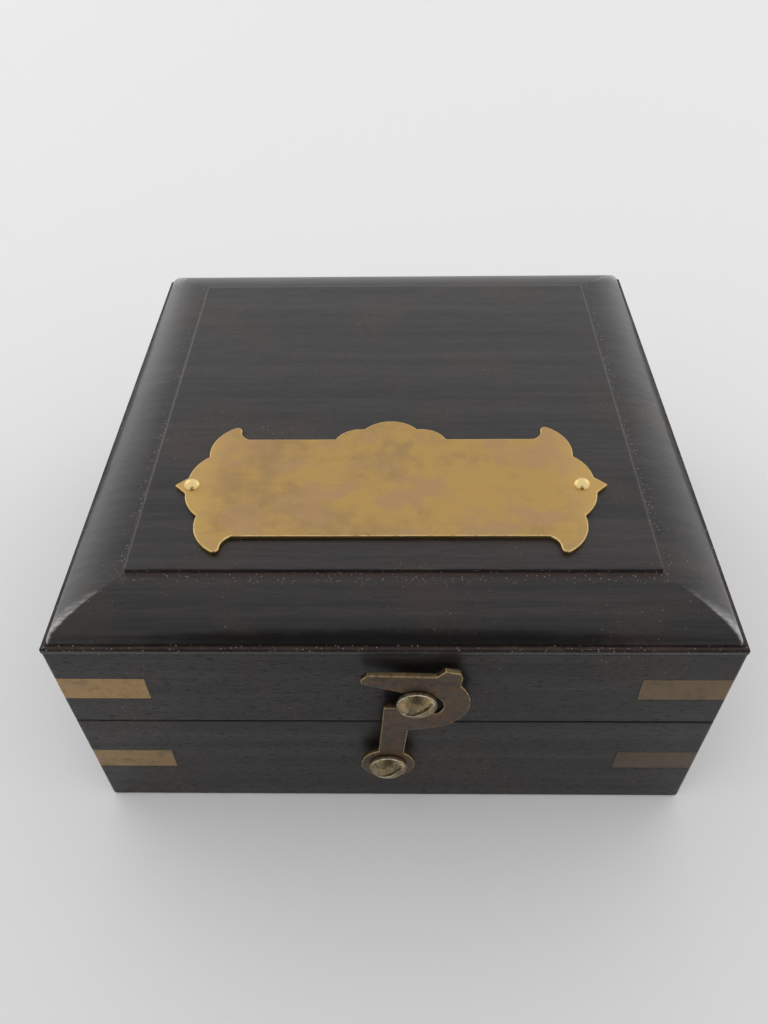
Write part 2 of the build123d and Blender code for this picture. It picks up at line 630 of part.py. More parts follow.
# ---------------------------------------------------------------- compass bowl
def build_bowl():
    """The bowl with its glass, seals, lubber ring and bearing ring."""
    rim_r = BOWL_R - SHOULDER_STEP
    glass_seat = rim_r - BOWL_WALL + GLASS_REBATE
    card_space = BOWL_R - CARD_SPACE_WALL
    bowl = disc(BOWL_R, BOWL_Z, SHOULDER_Z) + disc(rim_r, SHOULDER_Z, RIM_Z)
    bowl -= disc(card_space, BOWL_Z + BOWL_FLOOR, RIM_Z + 1)
    bowl -= disc(glass_seat, LUBBER_Z, RIM_Z + 1)
    bowl -= disc(POST_R + FIT, BOWL_Z - 1, BOWL_Z + BOWL_FLOOR + 1)
    bowl = chamfer(bowl.edges().group_by(Axis.Z)[0].filter_by(GeomType.CIRCLE).sort_by(SortBy.RADIUS)[-1], BOWL_CHAMFER)
    bowl -= rod_x(BUSH_R + FIT, CARD_R, BOWL_R + 1, 0, BUTTON_Z)
    for dx in (-SCREW_X, SCREW_X):
        bowl -= rod_y(BRACKET_SCREW_R + FIT, -BOWL_R - 1, -CARD_R + 2, dx, SCREW_LEVEL)
        bowl -= rod_y(BRACKET_SCREW_R + FIT, CARD_R - 2, BOWL_R + 1, dx, SCREW_LEVEL)

    spigot_out = glass_seat - FIT
    flange_r = rim_r + FLANGE_LAP
    sight_r = spigot_out - RETAINING_WIDE
    retaining = ring(spigot_out, sight_r, GLASS_Z + GLASS_THICK + 0.02, RIM_Z)
    retaining += ring(flange_r, sight_r, RIM_Z, RIM_Z + FLANGE_THICK)
    retaining = chamfer(retaining.edges().group_by(Axis.Z)[-1], FLANGE_CHAMFER)

    ring_in = rim_r + FIT + RUN
    bearing = ring(RING_R, ring_in, RING_Z, RING_TOP)
    bearing -= disc(flange_r + FREE, RIM_Z - RUN, RING_TOP + 1)
    bearing = chamfer(bearing.edges().group_by(Axis.Z)[-1].sort_by(SortBy.RADIUS)[-1], RING_CHAMFER)
    for k in range(KNURLS):
        groove = disc(KNURL_R, RING_Z - 1, RING_Z + KNURL_HEIGHT, RING_R + KNURL_OUT)
        bearing -= Rot(0, 0, 360 / KNURLS * k) * groove
    return {
        "compass_bowl": bowl,
        "lubber_ring": ring(glass_seat - FIT, CARD_R + LUBBER_CLEAR, LUBBER_Z, LUBBER_TOP),
        "glass_gasket": ring(glass_seat - 2 * FIT, sight_r, LUBBER_TOP, GLASS_Z),
        "crystal_glass": disc(glass_seat - 2 * FIT, GLASS_Z, GLASS_Z + GLASS_THICK),
        "retaining_ring": retaining,
        "bearing_ring": bearing,
        "pivot_post": build_post(),
    }


def build_post():
    """The steel pivot post, riveted in the bowl floor, ground to a point that carries the card."""
    shoulder = TIP_Z - POINT_LENGTH
    foot = disc(POST_R, BOWL_Z, shoulder)
    floor_z = BOWL_Z + BOWL_FLOOR
    collar = disc(POST_R + COLLAR_WIDE, floor_z, floor_z + COLLAR_HEIGHT)
    point = Pos(0, 0, shoulder) * Cone(POINT_FOOT_R, POINT_TIP_R, POINT_LENGTH, align=LOW)
    return foot + collar + point


def build_card():
    """The card, its brass cap and jewel, and the pair of bar magnets under it."""
    low = CARD_TOP - CARD_THICK
    skirt_r = CAP_R - SKIRT_IN
    skirt_z = low - SKIRT_DEPTH
    jewel_z = TIP_Z - JEWEL_HEIGHT / 2
    jewel_top = jewel_z + JEWEL_HEIGHT
    card = disc(CARD_R, low, CARD_TOP) - disc(skirt_r + FIT, low - 1, CARD_TOP + 1)
    cap = disc(CAP_R, CARD_TOP, jewel_top + CAP_OVER_JEWEL)
    cap += disc(skirt_r, skirt_z, CARD_TOP)
    cap = chamfer(cap.edges().group_by(Axis.Z)[-1], CAP_CHAMFER)
    cap -= disc(JEWEL_R + FIT, jewel_z - FIT, jewel_top + FIT)
    cap -= Pos(0, 0, skirt_z - 0.01) * Cone(POST_R + 0.3, 1.0, jewel_z - skirt_z, align=LOW)
    jewel = disc(JEWEL_R, jewel_z, jewel_top)
    jewel -= Pos(0, 0, jewel_z - 0.01) * Cone(1.0, 0.12, TIP_Z - jewel_z + 2 * FIT, align=LOW)
    wide, long, tall = MAGNET
    magnets = [
        Pos(side * MAGNET_X, 0, low - tall / 2) * Box(wide, long, tall) for side in (-1, 1)
    ]
    return {"compass_card": card, "card_cap": cap, "cap_jewel": jewel, "card_magnets": group(magnets)}


# ---------------------------------------------------------------- sights
def bracket(sy):
    """A two-eared bracket, screwed to the side of the bowl, that carries a sight."""
    wide = SIGHT_WIDTH / 2 + EAR + RUN
    out = AXIS_R + KNUCKLE_R
    low = BOWL_Z + BRACKET_FOOT
    under = RING_Z - FREE - BRACKET_UNDER_RING
    body = block(-wide, wide, EAR_IN - BRACKET_THICK + FREE, out, low, under)
    body -= disc(BOWL_R + FIT, low - 1, RING_Z + 1)
    body += block(-wide, wide, EAR_IN, out, low, AXIS_Z - KNUCKLE_R - 0.6)
    body -= disc(EAR_IN - FIT, under, AXIS_Z + KNUCKLE_R + 1)
    for sx in (-1, 1):
        x0, x1 = sorted((sx * (SIGHT_WIDTH / 2 + RUN), sx * wide))
        ear = block(x0, x1, EAR_IN + 0.1, out, AXIS_Z - KNUCKLE_R - 0.7, AXIS_Z)
        ear += rod_x(KNUCKLE_R, x0, x1, AXIS_R, AXIS_Z)
        body += ear
    body -= rod_x(SIGHT_PIN_R + FIT, -wide - 1, wide + 1, AXIS_R, AXIS_Z)
    for dx in (-SCREW_X, SCREW_X):
        body -= rod_y(BRACKET_SCREW_R + FIT, 0, out + 1, dx, SCREW_LEVEL)
        body -= rod_y(BRACKET_SCREW_R + BRACKET_HEAD_WIDE, out - BRACKET_HEAD_DEEP, out + 1, dx, SCREW_LEVEL)
    return body if sy > 0 else Rot(0, 0, 180) * body


def bracket_screws(sy):
    """The two screws of a bracket."""
    out = AXIS_R + KNUCKLE_R
    inner = BOWL_R - CARD_SPACE_WALL + 2 * FREE
    seat = out - BRACKET_HEAD_DEEP + FIT
    face = out - 2 * FIT
    made = []
    for dx in (-SCREW_X, SCREW_X):
        screw = rod_y(BRACKET_SCREW_R, inner, seat, dx, SCREW_LEVEL)
        screw += rod_y(BRACKET_SCREW_R + BRACKET_HEAD_WIDE - 2 * FIT, seat, face, dx, SCREW_LEVEL)
        screw -= Pos(dx, face, SCREW_LEVEL) * Box(2 * BRACKET_SCREW_R + 3, *BRACKET_SLOT)
        made.append(screw if sy > 0 else Rot(0, 0, 180) * screw)
    return group(made)


def sight_pin(sy):
    """The pin that a sight turns on."""
    wide = SIGHT_WIDTH / 2 + EAR + RUN
    return rod_x(SIGHT_PIN_R, -wide, wide, sy * AXIS_R, AXIS_Z)


def build_sights():
    """The slotted front sight with its hair, and the rear leaf with its prism, both folded flat."""
    wide = SIGHT_WIDTH / 2
    tip = SIGHT_TIP_WIDTH / 2
    middle = AXIS_Z + SIGHT_LIFT
    z0, z1 = middle - SIGHT_THICK / 2, middle + SIGHT_THICK / 2
    start = -AXIS_R
    end = start + SIGHT_LENGTH
    taper = end - TIP_TAPER
    outline = [(-wide, start), (wide, start), (tip, taper), (TIP_FLAT, end), (-TIP_FLAT, end), (-tip, taper)]
    slot_from, slot_to = start + SLOT_FROM_AXIS, end - SLOT_FROM_TIP
    vane = plan(outline, z0, z1)
    vane += rod_x(KNUCKLE_R, -wide, wide, start, AXIS_Z)
    vane -= block(-SIGHT_SLOT / 2, SIGHT_SLOT / 2, slot_from, slot_to, z0 - 1, z1 + 1)
    vane -= rod_x(SIGHT_PIN_R + RUN, -wide - 1, wide + 1, start, AXIS_Z)
    hair_from, hair_to = slot_from - HAIR_IN_SIGHT, slot_to + HAIR_IN_SIGHT
    hair = rod_y(HAIR_R, hair_from, hair_to, 0, middle)
    vane -= rod_y(HAIR_R + FIT, hair_from - FIT, hair_to + FIT, 0, middle)

    rear = AXIS_R
    inner = rear - PRISM_LEAF
    size = PRISM_SIZE
    leaf = block(-wide, wide, inner, rear, z0, z1) + rod_x(KNUCKLE_R, -wide, wide, rear, AXIS_Z)
    box_far = rear - PRISM_FROM_AXIS
    box_near = box_far - size
    for sx in (-1, 1):
        x0, x1 = sorted((sx * (wide - CHEEK), sx * wide))
        leaf += block(x0, x1, box_near, box_far, z1 - 0.2, z1 + size)
    leaf -= rod_x(SIGHT_PIN_R + RUN, -wide - 1, wide + 1, rear, AXIS_Z)
    leaf -= Pos(0, (box_near + box_far) / 2, z0 - 1) * Cylinder(PEEP_R, SIGHT_THICK + 2, align=LOW)
    leaf -= block(-NOTCH_HALF, NOTCH_HALF, inner + CHEEK, box_near - CHEEK / 2, z0 - 1, z1 + 1)
    wedge = Polyline((box_near, z1 + FIT), (box_far, z1 + FIT), (box_far, z1 + size), close=True)
    prism_face = make_face(Plane.YZ * wedge)
    half = wide - CHEEK - FIT
    prism = extrude(prism_face, half, both=True)
    return {
        "front_sight": vane,
        "sight_hair": hair,
        "prism_leaf": leaf,
        "prism": prism,
        "front_bracket": bracket(-1),
        "rear_bracket": bracket(1),
        "front_bracket_screws": bracket_screws(-1),
        "rear_bracket_screws": bracket_screws(1),
        "front_sight_pin": sight_pin(-1),
        "prism_leaf_pin": sight_pin(1),
    }


# ---------------------------------------------------------------- button and thumb ring
def build_controls():
    """The card brake with its bush, and the thumb ring in its lug."""
    bush_in = BOWL_R - CARD_SPACE_WALL + FREE + 2 * FIT
    bush_out = BOWL_R + BUSH_OUT
    bush = rod_x(BUSH_R, bush_in, bush_out, 0, BUTTON_Z)
    bush += rod_x(BUSH_FLANGE_R, BOWL_R + 3 * FIT, bush_out, 0, BUTTON_Z)
    bush -= rod_x(BUTTON_STEM_R + RUN, bush_in - 1, bush_out + 1, 0, BUTTON_Z)
    tip = CARD_R + BRAKE_GAP + BUTTON_TRAVEL
    knob = rod_x(BUTTON_R, KNOB_IN, KNOB_OUT, 0, BUTTON_Z)
    knob = fillet(knob.edges().group_by(Axis.X)[-1], BUTTON_ROUND)
    button = knob + rod_x(BUTTON_STEM_R, tip, KNOB_IN + 0.5, 0, BUTTON_Z)

    low, high = LUG_Z - LUG_EYE_R, LUG_Z + LUG_EYE_R
    lug = block(BOWL_R - 1, THUMB_AXIS - LUG_ARM, -LUG_ROOT, LUG_ROOT, low, high)
    lug += block(THUMB_AXIS - LUG_ARM - 2 * FIT, THUMB_AXIS, -LUG_HALF, LUG_HALF, low, high)
    lug += rod_y(LUG_EYE_R, -LUG_HALF, LUG_HALF, THUMB_AXIS, LUG_Z)
    lug -= disc(BOWL_R + FIT, low - 1, high + 1)
    lug -= rod_y(THUMB_WIRE + FREE, -3, 3, THUMB_AXIS, LUG_Z)
    loop = Pos(THUMB_AXIS + THUMB_R, 0, LUG_Z) * Torus(THUMB_R, THUMB_WIRE)
    turn = Rot(0, 0, THUMB_ANGLE)
    return {
        "brake_bush": bush,
        "brake_button": button,
        "thumb_ring_lug": turn * lug,
        "thumb_ring": turn * loop,
    }


def main():
    os.makedirs("parts", exist_ok=True)
    nodes = {
        **build_case(),
        **build_tray(),
        **build_plate(),
        **build_latch(),
        **build_hinges(),
        **build_bowl(),
        **build_card(),
        **build_sights(),
        **build_controls(),
    }
    for name, shape in nodes.items():
        save(name, shape)
    print(f"{len(nodes)} nodes, case {WIDTH:.1f} wide and {LID_TOP:.1f} high, axis {AXIS_R:.2f} {AXIS_Z:.2f}")


main()
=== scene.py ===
# %% [markdown]
# # A boxed bearing compass
#
# The object is a small instrument case of ebonised hardwood, closed by a swinging brass hook, with a brass
# sighting compass in a fitted tray inside. The construction is already made and packed: every board, hinge
# and screw has its size and place. This lesson adds what the eye sees: the finishes, the softened edges,
# the cloth linings, the printed card, the light and the camera.
#
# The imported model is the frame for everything, so each new piece takes its place from a node's box.

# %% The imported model
import json
from math import cos, pi, radians, sin, sqrt

import bmesh
import bpy
from mathutils import Matrix, Quaternion, Vector
from mathutils import noise as wave


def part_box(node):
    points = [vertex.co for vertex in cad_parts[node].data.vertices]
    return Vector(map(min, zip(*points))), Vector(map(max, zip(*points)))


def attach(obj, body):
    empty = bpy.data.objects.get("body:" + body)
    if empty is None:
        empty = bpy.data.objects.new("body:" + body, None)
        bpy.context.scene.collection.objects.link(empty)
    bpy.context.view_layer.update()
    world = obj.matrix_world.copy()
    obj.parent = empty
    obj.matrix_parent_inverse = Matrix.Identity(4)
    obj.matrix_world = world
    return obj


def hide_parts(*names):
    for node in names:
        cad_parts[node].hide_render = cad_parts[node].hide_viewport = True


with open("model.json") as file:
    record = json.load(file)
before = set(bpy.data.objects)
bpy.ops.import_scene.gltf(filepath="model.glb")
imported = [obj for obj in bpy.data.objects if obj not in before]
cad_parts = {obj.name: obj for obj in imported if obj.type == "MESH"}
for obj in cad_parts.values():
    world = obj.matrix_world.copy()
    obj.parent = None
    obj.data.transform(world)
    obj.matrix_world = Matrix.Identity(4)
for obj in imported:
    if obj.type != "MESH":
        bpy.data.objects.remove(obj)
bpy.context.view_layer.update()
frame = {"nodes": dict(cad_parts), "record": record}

MM = 0.001
NODES = frame["nodes"]

# %% [markdown]
# ## The camera
#
# A product photographer stands close to a small case and looks down on its lid. Close means strong
# perspective: the front is drawn much wider than the back. The camera is a place, a point to look at, and a
# slight roll, because a hand-held camera is never quite level.

# %% Camera
CAMERA_PLACE = Vector((1.1, -128.0, 152.8)) * MM
CAMERA_AIM = Vector((-2.0, -7.4, 30.0)) * MM
CAMERA_ROLL = radians(-1.13)
LENS_MM = 29.5

camera = bpy.data.objects.new("camera", bpy.data.cameras.new("camera"))
bpy.context.collection.objects.link(camera)
camera.data.lens = LENS_MM
camera.data.clip_start = 0.005
camera.location = CAMERA_PLACE
camera.rotation_mode = "QUATERNION"
level = (CAMERA_AIM - CAMERA_PLACE).to_track_quat("-Z", "Y")
camera.rotation_quaternion = level @ Quaternion((0, 0, 1), CAMERA_ROLL)
bpy.context.scene.camera = camera
bpy.context.scene.view_settings.view_transform = "Standard"
print("camera", round((CAMERA_AIM - CAMERA_PLACE).length / MM), "mm from what it looks at")

# %% [markdown]
# ## Shader sums in Python
#
# A finish is a network of nodes, and a network is easier to read as arithmetic. `Value` wraps one output
# socket and knows how to be added or multiplied, so `1 - dust * 0.5` becomes two Math nodes. `Finish` holds
# one material, and its `node` method makes any other node from its type, its settings and its inputs.

# %% Value and Finish
class Value:
    """An output socket that takes part in Python sums."""

    def __init__(self, finish, socket):
        self.finish = finish
        self.socket = socket

    def __add__(self, other):
        return self.finish.sum("ADD", self, other)

    __radd__ = __add__

    def __sub__(self, other):
        return self.finish.sum("SUBTRACT", self, other)

    def __rsub__(self, other):
        return self.finish.sum("SUBTRACT", other, self)

    def __mul__(self, other):
        return self.finish.sum("MULTIPLY", self, other)

    __rmul__ = __mul__

    def __abs__(self):
        return self.finish.sum("ABSOLUTE", self)

    def most(self, other):
        return self.finish.sum("MAXIMUM", self, other)

    def step(self, low, high):
        """0 below low, 1 above high, and smooth between; high may be the lower of the two."""
        settings = {"interpolation_type": "SMOOTHSTEP"}
        if low <= high:
            ends = {"From Min": low, "From Max": high, "To Min": 0.0, "To Max": 1.0}
        else:
            ends = {"From Min": high, "From Max": low, "To Min": 1.0, "To Max": 0.0}
        return self.finish.node("ShaderNodeMapRange", settings, {"Value": self, **ends})


class Finish:
    """One material under construction."""

    def __init__(self, name):
        self.material = bpy.data.materials.new(name)
        self.material.use_nodes = True
        self.tree = self.material.node_tree
        self.shader = self.tree.nodes["Principled BSDF"]
        self.place = self.node("ShaderNodeTexCoord", out="Object")

    def node(self, kind, settings=None, sockets=None, out=0):
        """Adds a node; a socket's value is a Value, a number or a colour, and out names the output wanted."""
        made = self.tree.nodes.new(kind)
        for key, value in (settings or {}).items():
            setattr(made, key, value)
        for key, value in (sockets or {}).items():
            self.feed(made.inputs[key], value)
        return Value(self, made.outputs[out])

    def feed(self, socket, value):
        if isinstance(value, Value):
            self.tree.links.new(value.socket, socket)
        else:
            socket.default_value = value

    def sum(self, operation, *values):
        return self.node("ShaderNodeMath", {"operation": operation}, dict(enumerate(values)))

    def grid(self, x=1.0, y=1.0, z=1.0, move=(0, 0, 0)):
        """Places in millimetres, scaled along each axis; a pattern is stretched where the scale is small."""
        scale = {"Scale": Vector((x, y, z)) / MM, "Location": Vector(move)}
        return self.node("ShaderNodeMapping", {}, {"Vector": self.place, **scale})

    def noise(self, grid, scale, detail=3.0, rough=0.5, warp=0.0):
        inputs = {"Vector": grid, "Scale": scale, "Detail": detail, "Roughness": rough, "Distortion": warp}
        return self.node("ShaderNodeTexNoise", {}, inputs)

    def dots(self, grid, scale, radius):
        """Round specks, one in each cell of 1/scale millimetres."""
        near = self.node("ShaderNodeTexVoronoi", {}, {"Vector": grid, "Scale": scale})
        return near.step(radius * scale, radius * scale * 0.5)

    def axes(self):
        """The X, Y and Z of a point, in millimetres."""
        split = self.tree.nodes.new("ShaderNodeSeparateXYZ")
        self.feed(split.inputs[0], self.grid())
        return [Value(self, split.outputs[k]) for k in range(3)]

    def blend(self, share, one, other):
        """Colour one where share is 0 and the other where it is 1."""
        inputs = {0: share, 6: one, 7: other}
        return self.node("ShaderNodeMix", {"data_type": "RGBA"}, inputs, out=2)

    def mark(self, name):
        """A number painted on the mesh's own points."""
        return self.node("ShaderNodeAttribute", {"attribute_name": name}, out="Fac")

    def relief(self, *layers):
        """Bumps from (height from 0 to 1, depth in millimetres) pairs, one on another."""
        normal = None
        for height, depth in layers:
            inputs = {"Height": height, "Distance": depth * MM, "Strength": 1.0}
            if normal:
                inputs["Normal"] = normal
            normal = self.node("ShaderNodeBump", {}, inputs)
        return normal

    def coat(self, **inputs):
        """Sets the shader's own sockets, named as in Blender with _ for a space."""
        for key, value in inputs.items():
            self.feed(self.shader.inputs[key.replace("_", " ")], value)
        return self.material


def grey(level, alpha=1.0):
    return (level, level, level, alpha)


def paint(node, material):
    """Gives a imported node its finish."""
    NODES[node].data.materials.clear()
    NODES[node].data.materials.append(material)


print("finish helpers ready")

# %% [markdown]
# ## The studio
#
# The case stands on a white paper sweep in a light tent, bright above, behind and at both sides. Black
# polished wood shows mostly what it reflects, so the tent draws the sheen on the lid. The photographer is
# close enough to show in it too, so a dark card stands in for their coat. It is hidden from every camera and
# seen only in reflections, where it turns the foot of the front moulding black. It also shades the paper in
# front, so one lamp over the floor puts that light back. That lamp is left out of every reflection.

# %% Paper sweep
SWEEP_FRONT, SWEEP_BACK, SWEEP_HALF, SWEEP_RISE, SWEEP_CURVE = -0.9, 1.3, 1.4, 1.2, 0.45
SWEEP_STEPS = 16


def staged(name, corners, faces, material):
    """A piece of the studio from its corners."""
    mesh = bpy.data.meshes.new(name)
    mesh.from_pydata(corners, [], faces)
    mesh.polygons.foreach_set("use_smooth", [True] * len(faces))
    mesh.materials.append(material)
    made = bpy.data.objects.new(name, mesh)
    bpy.context.collection.objects.link(made)
    return made


profile = [(SWEEP_FRONT, 0.0), (SWEEP_BACK - SWEEP_CURVE, 0.0)]
for k in range(1, SWEEP_STEPS + 1):
    turn = pi / 2 * k / SWEEP_STEPS
    profile.append((SWEEP_BACK - SWEEP_CURVE * (1 - sin(turn)), SWEEP_CURVE * (1 - cos(turn))))
profile.append((SWEEP_BACK, SWEEP_RISE))
count = len(profile)
corners = [(x, y, z) for x in (-SWEEP_HALF, SWEEP_HALF) for y, z in profile]
faces = [(k, k + count, k + count + 1, k + 1) for k in range(count - 1)]
paper = Finish("white_paper")
tooth = paper.noise(paper.grid(), 0.9, 4)
paper.coat(Base_Color=(0.94, 0.94, 0.945, 1), Roughness=0.75, Normal=paper.relief((tooth, 0.02)))
staged("paper_sweep", corners, faces, paper.material)

# %% The photographer's dark coat
COAT_HALF, COAT_HEIGHT, COAT_AT = 0.17, 0.56, -0.40

coat = Finish("dark_coat")
nap = coat.noise(coat.grid(), 0.4, 3)
coat.coat(Base_Color=coat.blend(nap, grey(0.012), grey(0.025)), Roughness=0.95)
corners = [
    (-COAT_HALF, COAT_AT, 0.001), (COAT_HALF, COAT_AT, 0.001),
    (COAT_HALF, COAT_AT, COAT_HEIGHT), (-COAT_HALF, COAT_AT, COAT_HEIGHT),
]
staged("dark_coat", corners, [(0, 1, 2, 3)], coat.material).visible_camera = False

# %% Light tent
def panel(name, place, aim, size, watts, colour=(1, 1, 1)):
    """A soft rectangular light at a place, facing a point."""
    data = bpy.data.lights.new(name, "AREA")
    data.shape = "RECTANGLE"
    data.size, data.size_y = size
    data.energy = watts
    data.color = colour
    lamp = bpy.data.objects.new(name, data)
    lamp.location = place
    lamp.rotation_mode = "QUATERNION"
    lamp.rotation_quaternion = (Vector(aim) - Vector(place)).to_track_quat("-Z", "Y")
    bpy.context.collection.objects.link(lamp)
    return lamp


floor_fill = panel("floor_fill", (-0.15, -0.45, 1.25), (-0.05, -0.2, 0), (0.9, 0.5), 1.6)
floor_fill.visible_glossy = False
panel("front_fill", (0.0, -0.95, 0.85), (0, -0.1, 0), (1.0, 0.6), 2.0)
panel("left_side", (-0.85, 0.75, 0.38), (0, 0, 0.05), (0.8, 0.7), 1.3, (0.96, 0.98, 1.0))
panel("right_side", (0.85, 0.75, 0.38), (0, 0, 0.05), (0.8, 0.7), 0.9, (0.96, 0.98, 1.0))
world = bpy.data.worlds.new("tent")
world.use_nodes = True
world.node_tree.nodes["Background"].inputs["Color"].default_value = grey(0.735)
world.node_tree.nodes["Background"].inputs["Strength"].default_value = 1.0
bpy.context.scene.world = world

# %% [markdown]
# ## Ebonised wood
#
# Ebonising stains a close-grained hardwood black with iron, and wax brings up a soft sheen. The stain
# leaves the grain: fine fibres a little lighter and darker, and short open pores that run with them. Both
# are noise read on a grid that is squeezed along the grain, so that each blob becomes a streak. The stain is
# thin in places and lets brown through, and dust settles as pale specks.

# %% Ebonised wood
WOOD_DARK = (0.0070, 0.0060, 0.0058, 1)
WOOD_LIGHT = (0.0360, 0.0312, 0.0292, 1)
WOOD_WORN = (0.046, 0.025, 0.017, 1)
WOOD_DUST = (0.42, 0.40, 0.37, 1)
GRAIN_SQUEEZE = 0.05


def ebonised(name, grain, sheen=0.40, pores=0.5, dust=0.3):
    """Black-stained wood whose grain runs along X or Y; tone and rough stay open for a board's own wear."""
    wood = Finish(name)
    along = {"x": 1.0, "y": 1.0, "z": 1.0, grain: GRAIN_SQUEEZE}
    fibres = wood.noise(wood.grid(**along), 2.4, 5, 0.62, 0.3)
    bands = wood.noise(wood.grid(**{**along, grain: 0.02}), 0.28, 3, 0.5, 0.8)
    cells = wood.noise(wood.grid(**{**along, grain: 0.12}), 5.2, 2, 0.5)
    pore = cells.step(0.655 - 0.09 * pores, 0.72 - 0.09 * pores)
    smudge = wood.noise(wood.grid(), 0.055, 4, 0.55)
    drift = wood.noise(wood.grid(), 0.12, 3, 0.6).step(0.45, 0.7)
    specks = wood.dots(wood.grid(), 0.33, 0.13) * drift * dust
    tone = wood.blend((fibres * 0.55 + bands * 0.6).step(0.35, 0.85), WOOD_DARK, WOOD_LIGHT)
    tone = wood.blend(smudge.step(0.50, 0.68) * 0.45, tone, WOOD_WORN)
    tone = wood.blend(pore * 0.8, tone, (0.003, 0.0025, 0.002, 1))
    lint = wood.dots(wood.grid(move=(5, 2, 6)), 0.9, 0.10) * (smudge.step(0.42, 0.62) * dust)
    tone = wood.blend(specks.most(lint), tone, WOOD_DUST)
    rough = sheen + (smudge - 0.5) * 0.16 + (fibres - 0.5) * 0.12 + pore * 0.2 + specks * 0.4
    wood.tone, wood.rough = tone, rough
    wood.coat(
        Base_Color=tone, Roughness=rough, Specular_IOR_Level=0.36,
        Normal=wood.relief((fibres, 0.012), (1 - pore, 0.02), (bands, 0.02)),
    )
    return wood


WOOD_X = ebonised("ebonised_wood_along_x", "x", sheen=0.42, pores=0.8, dust=0.8).material
WOOD_Y = ebonised("ebonised_wood_along_y", "y", sheen=0.42, pores=0.8, dust=0.8).material
paint("base_floor", WOOD_X)
print("wood ready")

# %% [markdown]
# ## Softened copies
#
# A imported part has perfectly sharp edges, and nothing real has. A sharp edge also catches no light. So most
# parts get a stand-in: a copy of the same mesh with its flat triangles joined up again and its sharp edges
# rounded by a fraction of a millimetre. The new narrow faces are marked, because an edge is where a finish
# wears first, and each metal can then be brighter there. A part's sides can be marked too, by less: on the
# screws for wear, on the hook partly for wear and partly as a painted highlight.

# %% A softened copy of a node
BODIES = frame["record"]["behaviour"]["bodies"]
WELD = 0.003


def body_of(node):
    """The moving body that a node belongs to."""
    return next(body for body, members in BODIES.items() if node in members)


def piece_from(name, mesh, material, body, *stands_for):
    """Makes a bmesh into a finished piece that rides on a body and replaces nodes."""
    data = bpy.data.meshes.new(name)
    mesh.to_mesh(data)
    mesh.free()
    data.polygons.foreach_set("use_smooth", [True] * len(data.polygons))
    data.set_sharp_from_angle(angle=radians(38))
    data.materials.append(material)
    piece = bpy.data.objects.new(name, data)
    bpy.context.collection.objects.link(piece)
    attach(piece, body)
    if stands_for:
        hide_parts(*stands_for)
    return piece


def softened(node, width, material, segments=2, sharp=30, rim=0.0):
    """Replaces a node by a copy with sharp edges rounded by width, in millimetres; rim: side wear and painted
    highlight.
    """
    mesh = bmesh.new()
    mesh.from_mesh(NODES[node].data)
    mark = mesh.faces.layers.float.new("edge")
    bmesh.ops.remove_doubles(mesh, verts=mesh.verts, dist=WELD * MM)
    bmesh.ops.dissolve_limit(mesh, angle_limit=radians(0.6), verts=mesh.verts, edges=mesh.edges)
    for face in mesh.faces:
        if abs(face.normal.y) < 0.5:
            face[mark] = rim
    keen = [e for e in mesh.edges if len(e.link_faces) == 2 and e.calc_face_angle() > radians(sharp)]
    made = bmesh.ops.bevel(
        mesh, geom=keen, offset=width * MM, offset_type="OFFSET", segments=segments, profile=0.5,
        affect="EDGES", clamp_overlap=False,
    )
    for face in made["faces"]:
        face[mark] = 1.0
    piece = piece_from(f"soft_{node}", mesh, material, body_of(node), node)
    even = piece.modifiers.new("even", "WEIGHTED_NORMAL")
    even.keep_sharp = True
    return piece


for part in ("base_wall", "lid_wall"):
    for side in ("front", "back"):
        softened(f"{part}_{side}", 0.09, WOOD_X)
    for side in ("left", "right"):
        softened(f"{part}_{side}", 0.09, WOOD_Y)
print("boards softened")

# %% [markdown]
# ## The moulded top board
# The top of the lid is one board with a raised panel. A cutter has run round its four sides: from the
# upright edge it leaves a narrow ledge, a long rounded slope and a small upright step. The slope was
# finished by hand, so it waves a little. The board is a loft: one profile, from the foot of the edge to the
# middle of the panel, and for each of its points a square ring whose corners are barely rounded. Each point
# also carries three numbers for the finish: how near it is to a corner where dirt gathers, how pale it is
# from wear where hands rub the panel's step and the ledge and from a painted highlight along the mitres,
# and how far it lies in a painted shade band, near-black along the foot of the slope. Where two slopes meet
# at a mitre, the one cut across the grain gets the wider pale painted highlight.

# %% Profile of the top board
BOARD_LOW, BOARD_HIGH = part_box("lid_top_board")
BOARD_HALF = BOARD_HIGH[0] / MM
BOARD_FOOT, BOARD_TOP = BOARD_LOW[2] / MM, BOARD_HIGH[2] / MM
EDGE_HEIGHT, LEDGE_WIDTH, SLOPE_RUN, SLOPE_RISE = 1.0, 0.9, 10.7, 4.4
SLOPE_STEPS = 26
SLOPE_BEND = 1.35
FOOT_CORNER, HEAD_CORNER = 0.6, 0.4
STEP_IN = LEDGE_WIDTH + SLOPE_RUN
# The shade band is painted shade: a near-black band along the foot of the slope; the mitre numbers set the
# pale painted highlight.
DIRT_REACH, SHADE_BAND_HEIGHT, SHADE_BAND_FADE = 2.6, 3.0, 1.5
MITRE_HIGHLIGHT_WIDTH, MITRE_HIGHLIGHT_SPREAD, SHADE_BAND_RUN = 1.2, 7.0, 45


